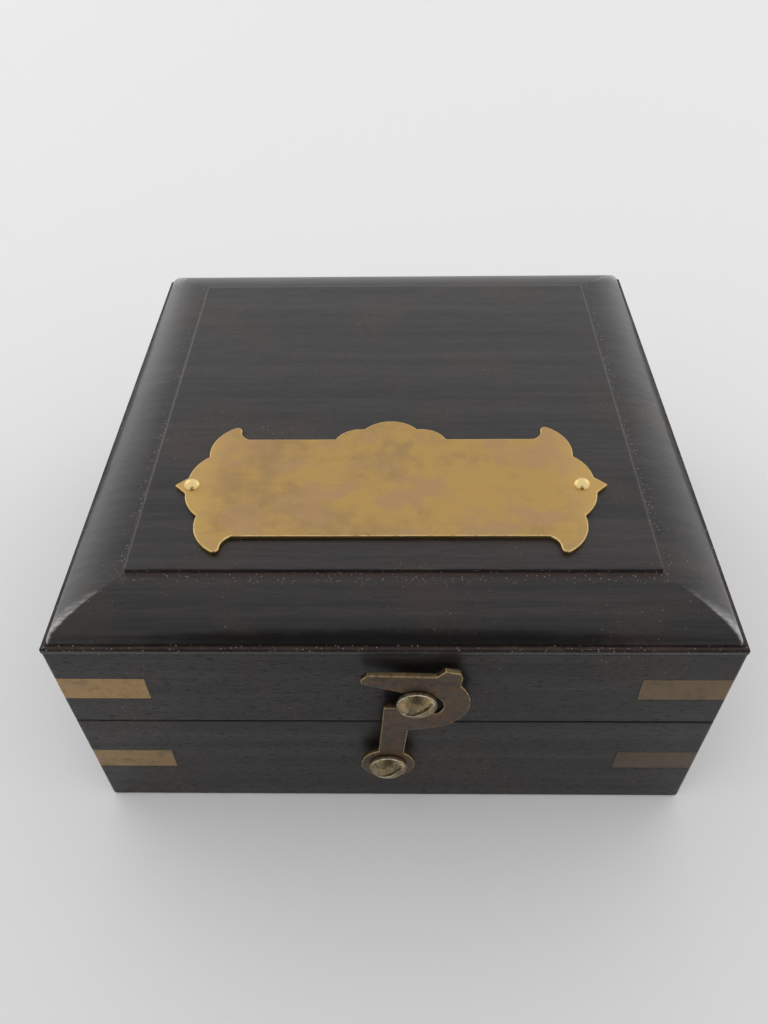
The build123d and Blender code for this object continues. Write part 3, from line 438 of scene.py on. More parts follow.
def board_profile():
    """(inset, height, radius of the ring's corners, dirt, wear and painted highlight, painted shade) from the
    edge inwards.
    """
    ledge = BOARD_FOOT + EDGE_HEIGHT
    rows = [
        (0.10, BOARD_FOOT, 0.3, 0.6, 0.0, 0.0),
        (0.02, BOARD_FOOT + 0.04, 0.3, 0.5, 0.0, 0.0),
        (0.00, BOARD_FOOT + 0.14, 0.3, 0.2, 0.2, 0.0),
        (0.00, ledge - 0.24, 0.3, 0.2, 0.1, 0.5),
        (0.03, ledge - 0.12, 0.3, 0.5, 0.1, 0.8),
        (0.11, ledge - 0.04, 0.3, 0.7, 0.1, 0.8),
        (0.22, ledge, 0.3, 0.9, 0.1, 0.6),
        (0.50, ledge + 0.01, 0.4, 0.9, 0.0, 0.4),
        (0.74, ledge + 0.04, FOOT_CORNER, 1.0, 0.0, 0.7),
        (0.87, ledge + 0.14, FOOT_CORNER, 1.0, 0.0, 1.0),
    ]
    for k in range(2, SLOPE_STEPS):
        turn = pi / 2 * (k / SLOPE_STEPS) ** SLOPE_BEND
        inset = LEDGE_WIDTH + SLOPE_RUN * (1 - cos(turn))
        height = ledge + 0.1 + SLOPE_RISE * sin(turn)
        to_foot = max(0.0, 1 - (STEP_IN - inset) / DIRT_REACH)
        # Painted shade: near-black at the foot of the slope, fading up it.
        shade_band = min(1.0, max(0.0, (SHADE_BAND_HEIGHT - height + ledge) / SHADE_BAND_FADE))
        radius = HEAD_CORNER + (FOOT_CORNER - HEAD_CORNER) * (1 - sin(turn)) ** 1.5
        rows.append((inset, height, radius, to_foot ** 1.4, 0.0, shade_band))
    top = ledge + 0.1 + SLOPE_RISE
    rows += [
        (STEP_IN - 0.16, top, 0.25, 1.0, 0.0, 0.0),
        (STEP_IN - 0.02, top + 0.06, 0.2, 1.0, 0.0, 0.0),
        (STEP_IN + 0.03, top + 0.20, 0.2, 0.8, 0.0, 0.0),
        (STEP_IN + 0.06, BOARD_TOP - 0.20, 0.2, 0.1, 0.1, 0.0),
        (STEP_IN + 0.10, BOARD_TOP - 0.07, 0.2, 0.0, 0.5, 0.0),
        (STEP_IN + 0.22, BOARD_TOP - 0.01, 0.2, 0.0, 0.4, 0.0),
        (STEP_IN + 0.45, BOARD_TOP, 0.3, 0.0, 0.0, 0.0),
    ]
    for inset in (STEP_IN + 1.5, STEP_IN + 5, 25, 36, 46, 53):
        rows.append((inset, BOARD_TOP, 0.3, 0.0, 0.0, 0.0))
    return rows


def ring_corners(half, radius, along=26, round_steps=6):
    """A square ring's points; they crowd towards the corners, where the finish changes fastest."""
    straight = half - radius
    points = []
    for side in range(4):
        turn = Matrix.Rotation(side * pi / 2, 2)
        for k in range(along):
            share = sin(pi / 2 * (2 * k / along - 1))
            points.append(turn @ Vector((half, share * straight)))
        for k in range(round_steps):
            bend = pi / 2 * k / round_steps
            points.append(turn @ Vector((straight + radius * cos(bend), straight + radius * sin(bend))))
    return points


# %% Loft of the top board
board = bmesh.new()
layers = [board.verts.layers.float.new(name) for name in ("dirt", "wear_and_highlight", "shade_band")]
rings = []
for inset, height, radius, *marks in board_profile():
    ring = []
    for spot in ring_corners(BOARD_HALF - inset, radius):
        to_mitre = abs(abs(spot.x) - abs(spot.y))
        on_slope = LEDGE_WIDTH < inset < STEP_IN - 0.3
        vert = board.verts.new((spot.x * MM, spot.y * MM, height * MM))
        for layer, value in zip(layers, marks):
            vert[layer] = value
        if on_slope:
            # Along the mitres the pale colour is a painted highlight, wider on the side cut across the grain
            # and lower down.
            low_down = (STEP_IN - inset) / SLOPE_RUN
            across_grain = abs(spot.x) > abs(spot.y)
            wide = MITRE_HIGHLIGHT_WIDTH + MITRE_HIGHLIGHT_SPREAD * low_down * across_grain
            vert[layers[1]] = max(0.0, 1 - to_mitre / wide) * (0.35 + 0.65 * low_down)
            # The painted shade band fades towards the mitres.
            vert[layers[2]] *= min(1.0, 0.2 + to_mitre / SHADE_BAND_RUN)
        ring.append(vert)
    rings.append(ring)
for low_ring, high_ring in zip(rings, rings[1:]):
    for k in range(len(low_ring)):
        after = (k + 1) % len(low_ring)
        board.faces.new((low_ring[k], low_ring[after], high_ring[after], high_ring[k]))
board.faces.new(rings[-1])
board.faces.new(rings[0][::-1])
print("top board:", len(rings), "rings of", len(rings[0]), "points")

# %% Finish of the top board
CLOTTED_DIRT, PALE_WEAR_AND_HIGHLIGHT = (0.085, 0.036, 0.022, 1), (0.42, 0.41, 0.40, 1)
PAINTED_SHADE_BLACK = (0.004, 0.0032, 0.003, 1)
lid_wood = ebonised("ebonised_top_board", "x", sheen=0.36, pores=0.25, dust=0.6)
dirt, wear_and_highlight, shade_band = (lid_wood.mark(name) for name in ("dirt", "wear_and_highlight", "shade_band"))
smear = lid_wood.noise(lid_wood.grid(x=0.6, y=0.6), 0.9, 4, 0.6)
dirty = (dirt * (smear * 1.6)).step(0.25, 1.0)
streaks = lid_wood.noise(lid_wood.grid(x=0.12), 1.5, 4, 0.65)
worn_and_highlit = (wear_and_highlight * (streaks + 0.35)).step(0.25, 0.85)
crumbs = lid_wood.dots(lid_wood.grid(move=(3, 1, 7)), 1.5, 0.13) * (dirt + 0.12).step(0.05, 0.6)
clots = lid_wood.dots(lid_wood.grid(move=(8, 4, 1)), 1.1, 0.30) * dirt.step(0.1, 0.7)
band_mottle = lid_wood.noise(lid_wood.grid(x=0.5, y=0.5), 0.45, 4, 0.7)
tone = lid_wood.blend(dirty * 0.8, lid_wood.tone, WOOD_WORN)
tone = lid_wood.blend(clots * 0.7, tone, CLOTTED_DIRT)
# Pale wear on the panel's step and the ledge, and a pale painted highlight along the mitres.
tone = lid_wood.blend(worn_and_highlit * worn_and_highlit, tone, PALE_WEAR_AND_HIGHLIGHT)
# Painted shade: a near-black band along the foot of the slope, broken up by noise.
tone = lid_wood.blend((shade_band * (band_mottle + 0.25)).step(0.3, 0.8) * 0.8, tone, PAINTED_SHADE_BLACK)
tone = lid_wood.blend(crumbs * 0.7, tone, WOOD_DUST)
rough = lid_wood.rough + dirty * 0.28 - worn_and_highlit * 0.08 + shade_band * 0.18
strokes = lid_wood.noise(lid_wood.grid(y=0.2), 1.6, 3, 0.55)
scraped = lid_wood.noise(lid_wood.grid(x=0.45), 0.22, 4, 0.6)
lid_wood.coat(
    Base_Color=tone, Roughness=rough, Specular_IOR_Level=0.22,
    Coat_Weight=(1 - (shade_band * (band_mottle + 0.42)).step(0.28, 0.72)) * 0.56, Coat_Roughness=0.36,
    Normal=lid_wood.relief((scraped, 0.16), (strokes, 0.012), (crumbs, 0.05), (smear, 0.02)),
)
piece_from("moulded_top_board", board, lid_wood.material, "lid", "lid_top_board")
print("top board finished")

# %% [markdown]
# ## Old metals
#
# Every metal on the case is a copper alloy, but no two look alike, because age, wax and fingers have treated
# them differently. One recipe makes them all: a clean metal colour, a duller film over it in drifting
# patches, fine lines left by emery cloth, darker spots, and a bright colour where the edges are rubbed. Two
# are painted light as well: a painted highlight makes the plate more golden at its ends, and painted shade
# darkens the straps to the right and towards the bottom.

# %% One recipe for the copper alloys
def old_metal(name, clean, film, bright, rough=0.34, filmed=0.5, patch=0.12, lines="x", lined=0.5, spots=0.3,
              film_to=None):
    """An aged alloy: clean metal under a patchy film, brighter on softened edges."""
    metal = Finish(name)
    drift = metal.noise(metal.grid(), patch, 5, 0.6, 0.4)
    cloud = metal.noise(metal.grid(move=(11, 5, 2)), patch * 4.2, 4, 0.6)
    tarnish = (drift * 0.65 + cloud * 0.35).step(0.62 - 0.30 * filmed, 0.80 - 0.30 * filmed)
    squeeze = {"x": 1.0, "y": 1.0, "z": 1.0, lines: 0.03}
    brushed = metal.noise(metal.grid(**squeeze), 5.0, 3, 0.55)
    pits = metal.noise(metal.grid(move=(1, 8, 3)), 1.7, 3, 0.6).step(0.66 - 0.08 * spots, 0.76 - 0.08 * spots)
    edge = metal.mark("edge") * (metal.noise(metal.grid(), 1.1, 3, 0.6) + 0.35).step(0.55, 0.95)
    tone = metal.blend(tarnish, clean, film)
    if film_to:
        other = metal.noise(metal.grid(move=(2, 13, 6)), patch * 1.7, 4, 0.6).step(0.48, 0.62)
        tone = metal.blend(other * 0.8, tone, film_to)
    tone = metal.blend((brushed - 0.35) * 0.5 * lined, tone, bright)
    tone = metal.blend(pits * spots, tone, tuple(0.35 * c for c in film[:3]) + (1,))
    tone = metal.blend(edge, tone, bright)
    metal.tone = tone
    aged_rough = rough + tarnish * 0.10 + (brushed - 0.5) * 0.16 * lined + pits * 0.2 - edge * 0.08
    metal.coat(
        Base_Color=tone, Metallic=1.0, Roughness=aged_rough,
        Normal=metal.relief((brushed, 0.012 * lined), (cloud, 0.012), (1 - pits, 0.03 * spots)),
    )
    return metal


def rgb(red, green, blue):
    return (red, green, blue, 1)


PLATE_LOW, PLATE_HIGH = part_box("name_plate")
PLATE_MIDDLE = (PLATE_LOW[0] + PLATE_HIGH[0]) / 2 / MM
plate = old_metal(
    "aged_plate_brass", rgb(0.56, 0.355, 0.12), rgb(0.44, 0.285, 0.13), rgb(0.86, 0.64, 0.28),
    rough=0.38, filmed=0.55, patch=0.07, lined=0.35, spots=0.2, film_to=rgb(0.50, 0.315, 0.165),
)
# Painted highlight: the plate is more golden towards its ends.
across = plate.axes()[0]
painted_end_highlight = abs(across - PLATE_MIDDLE).step(26, 36)
PLATE_BRASS = plate.coat(Base_Color=plate.blend(painted_end_highlight * 0.55, plate.tone, rgb(0.72, 0.47, 0.17)))
strap = old_metal(
    "dull_strap_brass", rgb(0.36, 0.235, 0.110), rgb(0.25, 0.172, 0.098), rgb(0.50, 0.36, 0.19),
    rough=0.42, filmed=0.5, patch=0.22, lined=1.0, spots=0.5,
)
# Painted shade: the straps darker to the right and towards the bottom.
across, _, height = strap.axes()
painted_strap_shade = across.step(-30, 45) * 0.75 + height.step(30, 18) * 0.22
STRAP_BRASS = strap.coat(Base_Color=strap.blend(painted_strap_shade, strap.tone, rgb(0.115, 0.090, 0.064)))
HOOK_BRONZE = old_metal(
    "dark_hook_bronze", rgb(0.096, 0.073, 0.058), rgb(0.064, 0.056, 0.050), rgb(0.46, 0.34, 0.16),
    rough=0.40, filmed=0.55, patch=0.30, lined=0.4, spots=0.55, film_to=rgb(0.145, 0.078, 0.050),
).material
SCREW_BRASS = old_metal(
    "olive_screw_brass", rgb(0.37, 0.285, 0.135), rgb(0.105, 0.105, 0.080), rgb(0.70, 0.63, 0.50),
    rough=0.34, filmed=0.6, patch=0.55, lined=0.2, spots=0.6, film_to=rgb(0.24, 0.145, 0.085),
).material
PIN_BRASS = old_metal(
    "bright_pin_brass", rgb(0.98, 0.74, 0.33), rgb(0.85, 0.60, 0.26), rgb(0.99, 0.85, 0.50),
    rough=0.34, filmed=0.3, patch=0.5, lined=0.1, spots=0.2,
).material
print("alloys:", [m.name for m in (PLATE_BRASS, STRAP_BRASS, HOOK_BRONZE, SCREW_BRASS, PIN_BRASS)])

# %% [markdown]
# ## Brass on the outside
#
# The name plate, the corner straps, the hook and the screws keep the shapes that were packed. Each gets a
# softened copy: a plate stamped from sheet has a rolled edge, a let-in strap is filed flush with the wood,
# and a screw head has a burr along its slot.

# %% Plate, straps, latch and pins
softened("name_plate", 0.22, PLATE_BRASS, segments=3)
softened("base_corner_straps", 0.05, STRAP_BRASS)
softened("lid_corner_straps", 0.05, STRAP_BRASS)
# The hook's sides get the bright edge colour: partly wear, partly a painted highlight where light falls on
# its top edge.
softened("latch_hook", 0.13, HOOK_BRONZE, segments=3, rim=0.45)
softened("latch_spacer", 0.12, HOOK_BRONZE)
softened("latch_pivot_screw", 0.09, SCREW_BRASS, rim=0.9)
softened("catch_screw", 0.09, SCREW_BRASS, rim=0.9)
softened("name_plate_pins", 0.06, PIN_BRASS)
print("outside brass softened")

# %% [markdown]
# ## The instrument's brass
#
# Inside the case the brass was lacquered and kept dry, so it is still golden. Round parts were turned, which
# leaves fine rings about the axis of the bowl; a pattern read on the distance from that axis gives them.
# Flat parts were drawn along emery cloth.

# %% Turned brass
def turned_metal(name, clean, film, bright, rough=0.26):
    """A lathe-turned alloy whose lines run round the Z axis."""
    metal = Finish(name)
    x, y, z = metal.axes()
    reach = metal.sum("SQRT", x * x + y * y)
    place = metal.node("ShaderNodeCombineXYZ", {}, {0: reach * 5.0, 1: z * 5.0, 2: 0.0})
    lathe = metal.node("ShaderNodeTexNoise", {}, {"Vector": place, "Scale": 1.0, "Detail": 2.0})
    drift = metal.noise(metal.grid(), 0.11, 5, 0.6, 0.3).step(0.42, 0.72)
    spots = metal.noise(metal.grid(move=(4, 2, 9)), 1.5, 3, 0.6).step(0.66, 0.76)
    edge = metal.mark("edge") * (metal.noise(metal.grid(), 1.2, 3) + 0.35).step(0.55, 0.9)
    tone = metal.blend(drift * 0.8, clean, film)
    tone = metal.blend(spots * 0.45, tone, tuple(0.5 * c for c in film[:3]) + (1,))
    tone = metal.blend((lathe - 0.35) * 0.35, tone, bright)
    tone = metal.blend(edge, tone, bright)
    return metal.coat(
        Base_Color=tone, Metallic=1.0, Roughness=rough + drift * 0.10 + (lathe - 0.5) * 0.22 - edge * 0.06,
        Normal=metal.relief((lathe, 0.012), (drift, 0.01)), Coat_Weight=0.25, Coat_Roughness=0.15,
    )


GOLDEN, GOLDEN_FILM, GOLDEN_BRIGHT = rgb(0.66, 0.44, 0.17), rgb(0.50, 0.33, 0.14), rgb(0.90, 0.68, 0.34)
TURNED_BRASS = turned_metal("turned_instrument_brass", GOLDEN, GOLDEN_FILM, GOLDEN_BRIGHT)
FLAT_BRASS = old_metal(
    "drawn_instrument_brass", GOLDEN, GOLDEN_FILM, GOLDEN_BRIGHT, rough=0.28, filmed=0.4, patch=0.16,
    lines="y", lined=0.8, spots=0.2,
).material
HINGE_BRASS = old_metal(
    "hinge_brass", rgb(0.44, 0.30, 0.13), rgb(0.30, 0.21, 0.11), rgb(0.72, 0.53, 0.26),
    rough=0.36, filmed=0.5, patch=0.25, lined=0.6, spots=0.5,
).material
STEEL = old_metal(
    "blued_steel", rgb(0.46, 0.47, 0.49), rgb(0.28, 0.29, 0.32), rgb(0.75, 0.75, 0.76),
    rough=0.24, filmed=0.4, patch=0.4, lined=0.4, spots=0.3,
).material

# %% Instrument metalwork
for node, width in (("compass_bowl", 0.15), ("bearing_ring", 0.12), ("retaining_ring", 0.09)):
    softened(node, width, TURNED_BRASS)
for node, width in (
    ("front_bracket", 0.15), ("rear_bracket", 0.15), ("front_sight", 0.12), ("prism_leaf", 0.12),
    ("brake_bush", 0.08), ("brake_button", 0.08), ("thumb_ring_lug", 0.1),
    ("front_bracket_screws", 0.05), ("rear_bracket_screws", 0.05),
):
    softened(node, width, FLAT_BRASS)
for node in ("front_sight_pin", "prism_leaf_pin", "thumb_ring", "card_cap"):
    paint(node, FLAT_BRASS)
for node in ("hinge_base_leaves", "hinge_lid_leaves"):
    softened(node, 0.12, HINGE_BRASS)
for node in ("hinge_base_screws", "hinge_lid_screws"):
    softened(node, 0.05, SCREW_BRASS)
paint("hinge_pins", HINGE_BRASS)
for node in ("pivot_post", "card_magnets", "sight_hair"):
    paint(node, STEEL)
print("instrument metalwork finished")

# %% [markdown]
# ## Glass, jewel, rubber and enamel
#
# Glass is nearly all light passing through, so what makes it visible is dust and a few hairline scratches in
# its roughness. The jewel that the card turns on is a red synthetic sapphire. The gasket is black rubber,
# and the ring under the glass that carries the lubber line is white enamel.

# %% Clear and coloured solids
glass = Finish("dusty_glass")
haze = glass.noise(glass.grid(), 0.09, 4, 0.6).step(0.4, 0.8)
hairline = glass.noise(glass.grid(x=0.02, y=0.9), 2.4, 2, 0.5).step(0.66, 0.70)
motes = glass.dots(glass.grid(), 0.30, 0.07)
glass.coat(
    Base_Color=glass.blend(motes, rgb(0.96, 0.985, 0.97), grey(0.75)),
    Roughness=0.015 + haze * 0.03 + hairline * 0.08, Transmission_Weight=1.0, IOR=1.5,
    Normal=glass.relief((hairline, 0.002), (motes, 0.01)),
)
paint("crystal_glass", glass.material)
softened("prism", 0.08, glass.material)

jewel = Finish("red_sapphire")
cloud = jewel.noise(jewel.grid(), 0.8, 4)
jewel.coat(
    Base_Color=jewel.blend(cloud, rgb(0.62, 0.01, 0.035), rgb(0.80, 0.05, 0.08)),
    Roughness=0.06 + cloud * 0.05, Transmission_Weight=0.55, IOR=1.76,
)
paint("cap_jewel", jewel.material)

rubber = Finish("black_rubber")
grain = rubber.noise(rubber.grid(), 3.5, 4, 0.6)
bloom = rubber.noise(rubber.grid(), 0.3, 3).step(0.5, 0.75)
rubber.coat(
    Base_Color=rubber.blend(bloom, grey(0.012), grey(0.045)), Roughness=0.55 + grain * 0.25,
    Normal=rubber.relief((grain, 0.03)),
)
paint("glass_gasket", rubber.material)


def enamel(name, fresh, aged, rough=0.38):
    """Fired enamel: milky, a little uneven, with yellowed clouds and fine pinholes."""
    coat = Finish(name)
    age = coat.noise(coat.grid(), 0.10, 4, 0.6).step(0.4, 0.75)
    ripple = coat.noise(coat.grid(), 0.7, 2)
    pinholes = coat.dots(coat.grid(), 0.45, 0.06)
    tone = coat.blend(age, fresh, aged)
    tone = coat.blend(pinholes * 0.7, tone, rgb(0.25, 0.20, 0.14))
    return coat.coat(
        Base_Color=tone, Roughness=rough + age * 0.1, Coat_Weight=0.5, Coat_Roughness=0.12,
        Normal=coat.relief((ripple, 0.015), (1 - pinholes, 0.02)),
    )


CARD_WHITE = enamel("card_enamel", rgb(0.80, 0.79, 0.74), rgb(0.72, 0.66, 0.52))
BLACK_INK = enamel("black_ink", rgb(0.012, 0.012, 0.014), rgb(0.035, 0.030, 0.028), 0.5)
RED_INK = enamel("red_ink", rgb(0.52, 0.035, 0.025), rgb(0.42, 0.05, 0.03), 0.5)
paint("compass_card", CARD_WHITE)
paint("lubber_ring", CARD_WHITE)
print("glass, jewel, rubber and enamel ready")

# %% [markdown]
# ## The card's print
#
# The card carries what a navigator reads: a mark for every degree, longer marks for fives and tens, numbers
# and the four chief points. The marks repeat round a circle, which is work for Geometry Nodes: a circle of
# points, a small bar on each point turned to face outwards, and the whole made real at the end. The same
# tree cuts the marks on the bearing ring.

# %% A node tree for dial marks
MARK_INPUTS = (
    ("Marks", "NodeSocketInt", 72), ("Radius", "NodeSocketFloat", 0.02), ("Length", "NodeSocketFloat", 0.002),
    ("Width", "NodeSocketFloat", 0.0003), ("Depth", "NodeSocketFloat", 0.00004),
    ("Height", "NodeSocketFloat", 0.0), ("Ink", "NodeSocketMaterial", None),
)


def dial_tree():
    """A ring of bars that point away from the Z axis."""
    tree = bpy.data.node_groups.new("dial_marks", "GeometryNodeTree")
    for name, kind, default in MARK_INPUTS:
        socket = tree.interface.new_socket(name, in_out="INPUT", socket_type=kind)
        if default is not None:
            socket.default_value = default
    tree.interface.new_socket("Geometry", in_out="OUTPUT", socket_type="NodeSocketGeometry")
    made = {}

    def node(name, kind, settings=None, **links):
        new = tree.nodes.new(kind)
        for key, value in (settings or {}).items():
            setattr(new, key, value)
        for key, source in links.items():
            tree.links.new(source, new.inputs[key.replace("_", " ")])
        made[name] = new
        return new

    given = node("given", "NodeGroupInput").outputs
    circle = node("circle", "GeometryNodeMeshCircle", Vertices=given["Marks"], Radius=given["Radius"])
    size = node("size", "ShaderNodeCombineXYZ", X=given["Length"], Y=given["Width"], Z=given["Depth"])
    bar = node("bar", "GeometryNodeMeshCube", Size=size.outputs[0])
    where = node("where", "GeometryNodeInputPosition")
    facing = node("facing", "FunctionNodeAlignRotationToVector", {"axis": "X"}, Vector=where.outputs[0])
    placed = node(
        "placed", "GeometryNodeInstanceOnPoints", Points=circle.outputs[0], Instance=bar.outputs[0],
        Rotation=facing.outputs[0],
    )
    lift = node("lift", "ShaderNodeCombineXYZ", Z=given["Height"])
    moved = node("moved", "GeometryNodeTransform", Geometry=placed.outputs[0], Translation=lift.outputs[0])
    real = node("real", "GeometryNodeRealizeInstances", Geometry=moved.outputs[0])
    inked = node("inked", "GeometryNodeSetMaterial", Geometry=real.outputs[0], Material=given["Ink"])
    node("result", "NodeGroupOutput", Geometry=inked.outputs[0])
    return tree


DIAL_TREE = dial_tree()


def dial_marks(name, ink, **values):
    """One ring of marks as a plain mesh object; the values are the tree's inputs, lengths in millimetres."""
    host = bpy.data.objects.new(f"{name}_host", bpy.data.meshes.new(f"{name}_host"))
    bpy.context.collection.objects.link(host)
    modifier = host.modifiers.new("marks", "NODES")
    modifier.node_group = DIAL_TREE
    inputs = [item for item in DIAL_TREE.interface.items_tree if item.in_out == "INPUT"]
    sockets = {item.name: item.identifier for item in inputs}
    for key, value in values.items():
        modifier[sockets[key]] = value if isinstance(value, int) else value * MM
    modifier[sockets["Ink"]] = ink
    evaluated = host.evaluated_get(bpy.context.evaluated_depsgraph_get())
    mesh = bpy.data.meshes.new_from_object(evaluated)
    bpy.data.objects.remove(host)
    made = bpy.data.objects.new(name, mesh)
    bpy.context.collection.objects.link(made)
    return made


CARD_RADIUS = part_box("compass_card")[1][0] / MM
CARD_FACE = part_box("compass_card")[1][2] / MM
INK_DEPTH = 0.03
for name, marks, length, width in (
    ("card_degrees", 360, 1.2, 0.10), ("card_fives", 72, 2.0, 0.17), ("card_tens", 36, 2.9, 0.26),
):
    ring = dial_marks(
        name, BLACK_INK, Marks=marks, Radius=CARD_RADIUS - 0.5 - length / 2, Length=length, Width=width,
        Depth=INK_DEPTH, Height=CARD_FACE,
    )
    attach(ring, "card")
    print(name, marks, "marks")

# %% Circles, points and numbers on the card
def flat_ring(mesh, inner, outer, low, high, steps=144):
    """A thin flat washer about the Z axis."""
    corners = []
    for k in range(steps):
        a = 2 * pi * k / steps
        for radius, z in ((inner, low), (outer, low), (outer, high), (inner, high)):
            corners.append(mesh.verts.new((radius * cos(a) * MM, radius * sin(a) * MM, z * MM)))
    for k in range(steps):
        here, after = 4 * k, 4 * ((k + 1) % steps)
        for side in range(4):
            beside = (side + 1) % 4
            mesh.faces.new([corners[i] for i in (here + side, here + beside, after + beside, after + side)])


def lettering(body, size, radius, bearing, z):
    """A number or letter lying on the card, its foot towards the middle, as a mesh in place."""
    curve = bpy.data.curves.new("letter", "FONT")
    curve.body = body
    curve.size = size * MM
    curve.align_x = "CENTER"
    curve.align_y = "CENTER"
    curve.extrude = INK_DEPTH / 2 * MM
    curve.resolution_u = 3
    text = bpy.data.objects.new("letter", curve)
    mesh = bpy.data.meshes.new_from_object(text)
    bpy.data.objects.remove(text)
    turn = Matrix.Rotation(-radians(bearing), 4, "Z")
    mesh.transform(turn @ Matrix.Translation((0, radius * MM, z * MM)))
    return mesh


def rose_point(mesh, bearing, length, waist, z):
    """One half-dark point of the card's star."""
    turn = Matrix.Rotation(-radians(bearing), 4, "Z")
    flat = [(0, length), (waist, waist * 1.4), (0, CAP_CLEAR)]
    low = [mesh.verts.new(turn @ Vector((x * MM, y * MM, (z - INK_DEPTH / 2) * MM))) for x, y in flat]
    high = [mesh.verts.new(turn @ Vector((x * MM, y * MM, (z + INK_DEPTH / 2) * MM))) for x, y in flat]
    mesh.faces.new(high)
    mesh.faces.new(low[::-1])
    for k in range(3):
        mesh.faces.new((low[k], low[(k + 1) % 3], high[(k + 1) % 3], high[k]))


CAP_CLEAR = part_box("card_cap")[1][0] / MM + 0.8
STAR_REACH, HALF_REACH, QUARTER_REACH = 14.5, 11.5, 8.5
print_mesh = bmesh.new()
for radius in (CARD_RADIUS - 0.35, CARD_RADIUS - 3.7, STAR_REACH + 1.0):
    flat_ring(print_mesh, radius - 0.07, radius + 0.07, CARD_FACE, CARD_FACE + INK_DEPTH / 2)
for k in range(16):
    main = k % 4 == 0
    reach = STAR_REACH if main else (HALF_REACH if k % 2 == 0 else QUARTER_REACH)
    rose_point(print_mesh, k * 22.5, reach, 2.2 if main else 1.3, CARD_FACE)
for bearing in range(0, 360, 20):
    letter = lettering(str(bearing) if bearing else "360", 2.9, CARD_RADIUS - 5.6, bearing, CARD_FACE)
    print_mesh.from_mesh(letter)
for point, bearing in (("E", 90), ("S", 180), ("W", 270)):
    print_mesh.from_mesh(lettering(point, 4.4, STAR_REACH + 3.8, bearing, CARD_FACE))
bmesh.ops.recalc_face_normals(print_mesh, faces=print_mesh.faces)
piece_from("card_print", print_mesh, BLACK_INK, "card")
north = bmesh.new()
north.from_mesh(lettering("N", 4.8, STAR_REACH + 3.8, 0, CARD_FACE))
piece_from("card_north", north, RED_INK, "card")

LUBBER_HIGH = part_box("lubber_ring")[1] / MM
lubber = bmesh.new()
bmesh.ops.create_cube(lubber, size=1.0)
LUBBER_INNER, LUBBER_WIDTH = CARD_RADIUS + 0.4, 0.35
size = Vector((LUBBER_WIDTH, LUBBER_HIGH[0] - LUBBER_INNER - 0.1, INK_DEPTH)) * MM
middle = Vector((0, (LUBBER_HIGH[0] + LUBBER_INNER) / 2, LUBBER_HIGH[2])) * MM
bmesh.ops.transform(lubber, matrix=Matrix.LocRotScale(middle, None, size), verts=lubber.verts)
piece_from("lubber_line", lubber, BLACK_INK, body_of("lubber_ring"))

RING_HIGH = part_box("bearing_ring")[1] / MM
for name, marks, length, width in (("ring_fives", 72, 1.0, 0.14), ("ring_thirties", 12, 1.7, 0.24)):
    radius = RING_HIGH[0] - 2.0 + length / 2 - 0.9
    ring = dial_marks(
        name, BLACK_INK, Marks=marks, Radius=radius, Length=length, Width=width, Depth=0.02,
        Height=RING_HIGH[2],
    )
    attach(ring, "ring")
print("card and ring marked")

# %% [markdown]
# ## The fitted tray
#
# The compass sits in a block of brown hardwood, hollowed for the bowl, the sights and the fingers. Only its
# cut walls show, because its top is covered in baize, glued on and trimmed level with every cut.

# %% Tray wood
tray = Finish("oiled_tray_wood")
growth = tray.noise(tray.grid(x=0.03), 0.9, 5, 0.6, 0.6)
fibres = tray.noise(tray.grid(x=0.05), 3.0, 4, 0.6)
pores = tray.noise(tray.grid(x=0.12, move=(3, 1, 0)), 3.2, 2).step(0.62, 0.70)
TRAY_DARK, TRAY_LIGHT = rgb(0.115, 0.048, 0.021), rgb(0.26, 0.125, 0.058)
tone = tray.blend((growth * 0.7 + fibres * 0.3).step(0.35, 0.7), TRAY_DARK, TRAY_LIGHT)
tone = tray.blend(pores * 0.7, tone, rgb(0.04, 0.017, 0.009))
tray.coat(
    Base_Color=tone, Roughness=0.52 + (fibres - 0.5) * 0.2 + pores * 0.2,
    Normal=tray.relief((fibres, 0.02), (1 - pores, 0.05)),
)
softened("tray_block", 0.25, tray.material)
print("tray block finished")

# %% [markdown]
# ## Baize and felt
#
# Baize is thin woollen cloth, felted and sheared, so it has no visible weave: only a soft nap with lighter
# and darker fibres and a little lint. Each sheet is cut from the upper face of the solid that holds its
# place, sliced into small squares so that it can lie with slight waves, and given its own thickness.

# %% Woollen cloth
def wool(name, dark, light, lint=0.5):
    """Felted wool with a brushed nap."""
    cloth = Finish(name)
    fibre = cloth.noise(cloth.grid(), 2.6, 5, 0.72, 1.2)
    nap = cloth.noise(cloth.grid(), 0.22, 4, 0.6, 0.6)
    hairs = cloth.noise(cloth.grid(x=0.25, y=1.4, move=(6, 2, 1)), 2.2, 3, 0.6, 2.5).step(0.60, 0.72)
    fluff = cloth.dots(cloth.grid(), 0.16, 0.22) * lint
    tone = cloth.blend((fibre * 0.6 + nap * 0.5).step(0.35, 0.75), dark, light)
    tone = cloth.blend(hairs * 0.35, tone, tuple(min(1.0, 2.2 * c) for c in light[:3]) + (1,))
    tone = cloth.blend(fluff, tone, rgb(0.45, 0.46, 0.40))
    return cloth.coat(
        Base_Color=tone, Roughness=0.92 + (fibre - 0.5) * 0.1, Sheen_Weight=0.35, Sheen_Roughness=0.5,
        Specular_IOR_Level=0.2, Normal=cloth.relief((fibre, 0.10), (nap, 0.12), (hairs, 0.03)),
    )


GREEN_BAIZE = wool("green_baize", rgb(0.008, 0.055, 0.026), rgb(0.022, 0.115, 0.055))
BROWN_FELT = wool("brown_felt", rgb(0.05, 0.035, 0.025), rgb(0.11, 0.08, 0.055), 0.3)
LID_VELVET = wool("lid_velvet", rgb(0.006, 0.040, 0.020), rgb(0.016, 0.085, 0.042), 0.35)


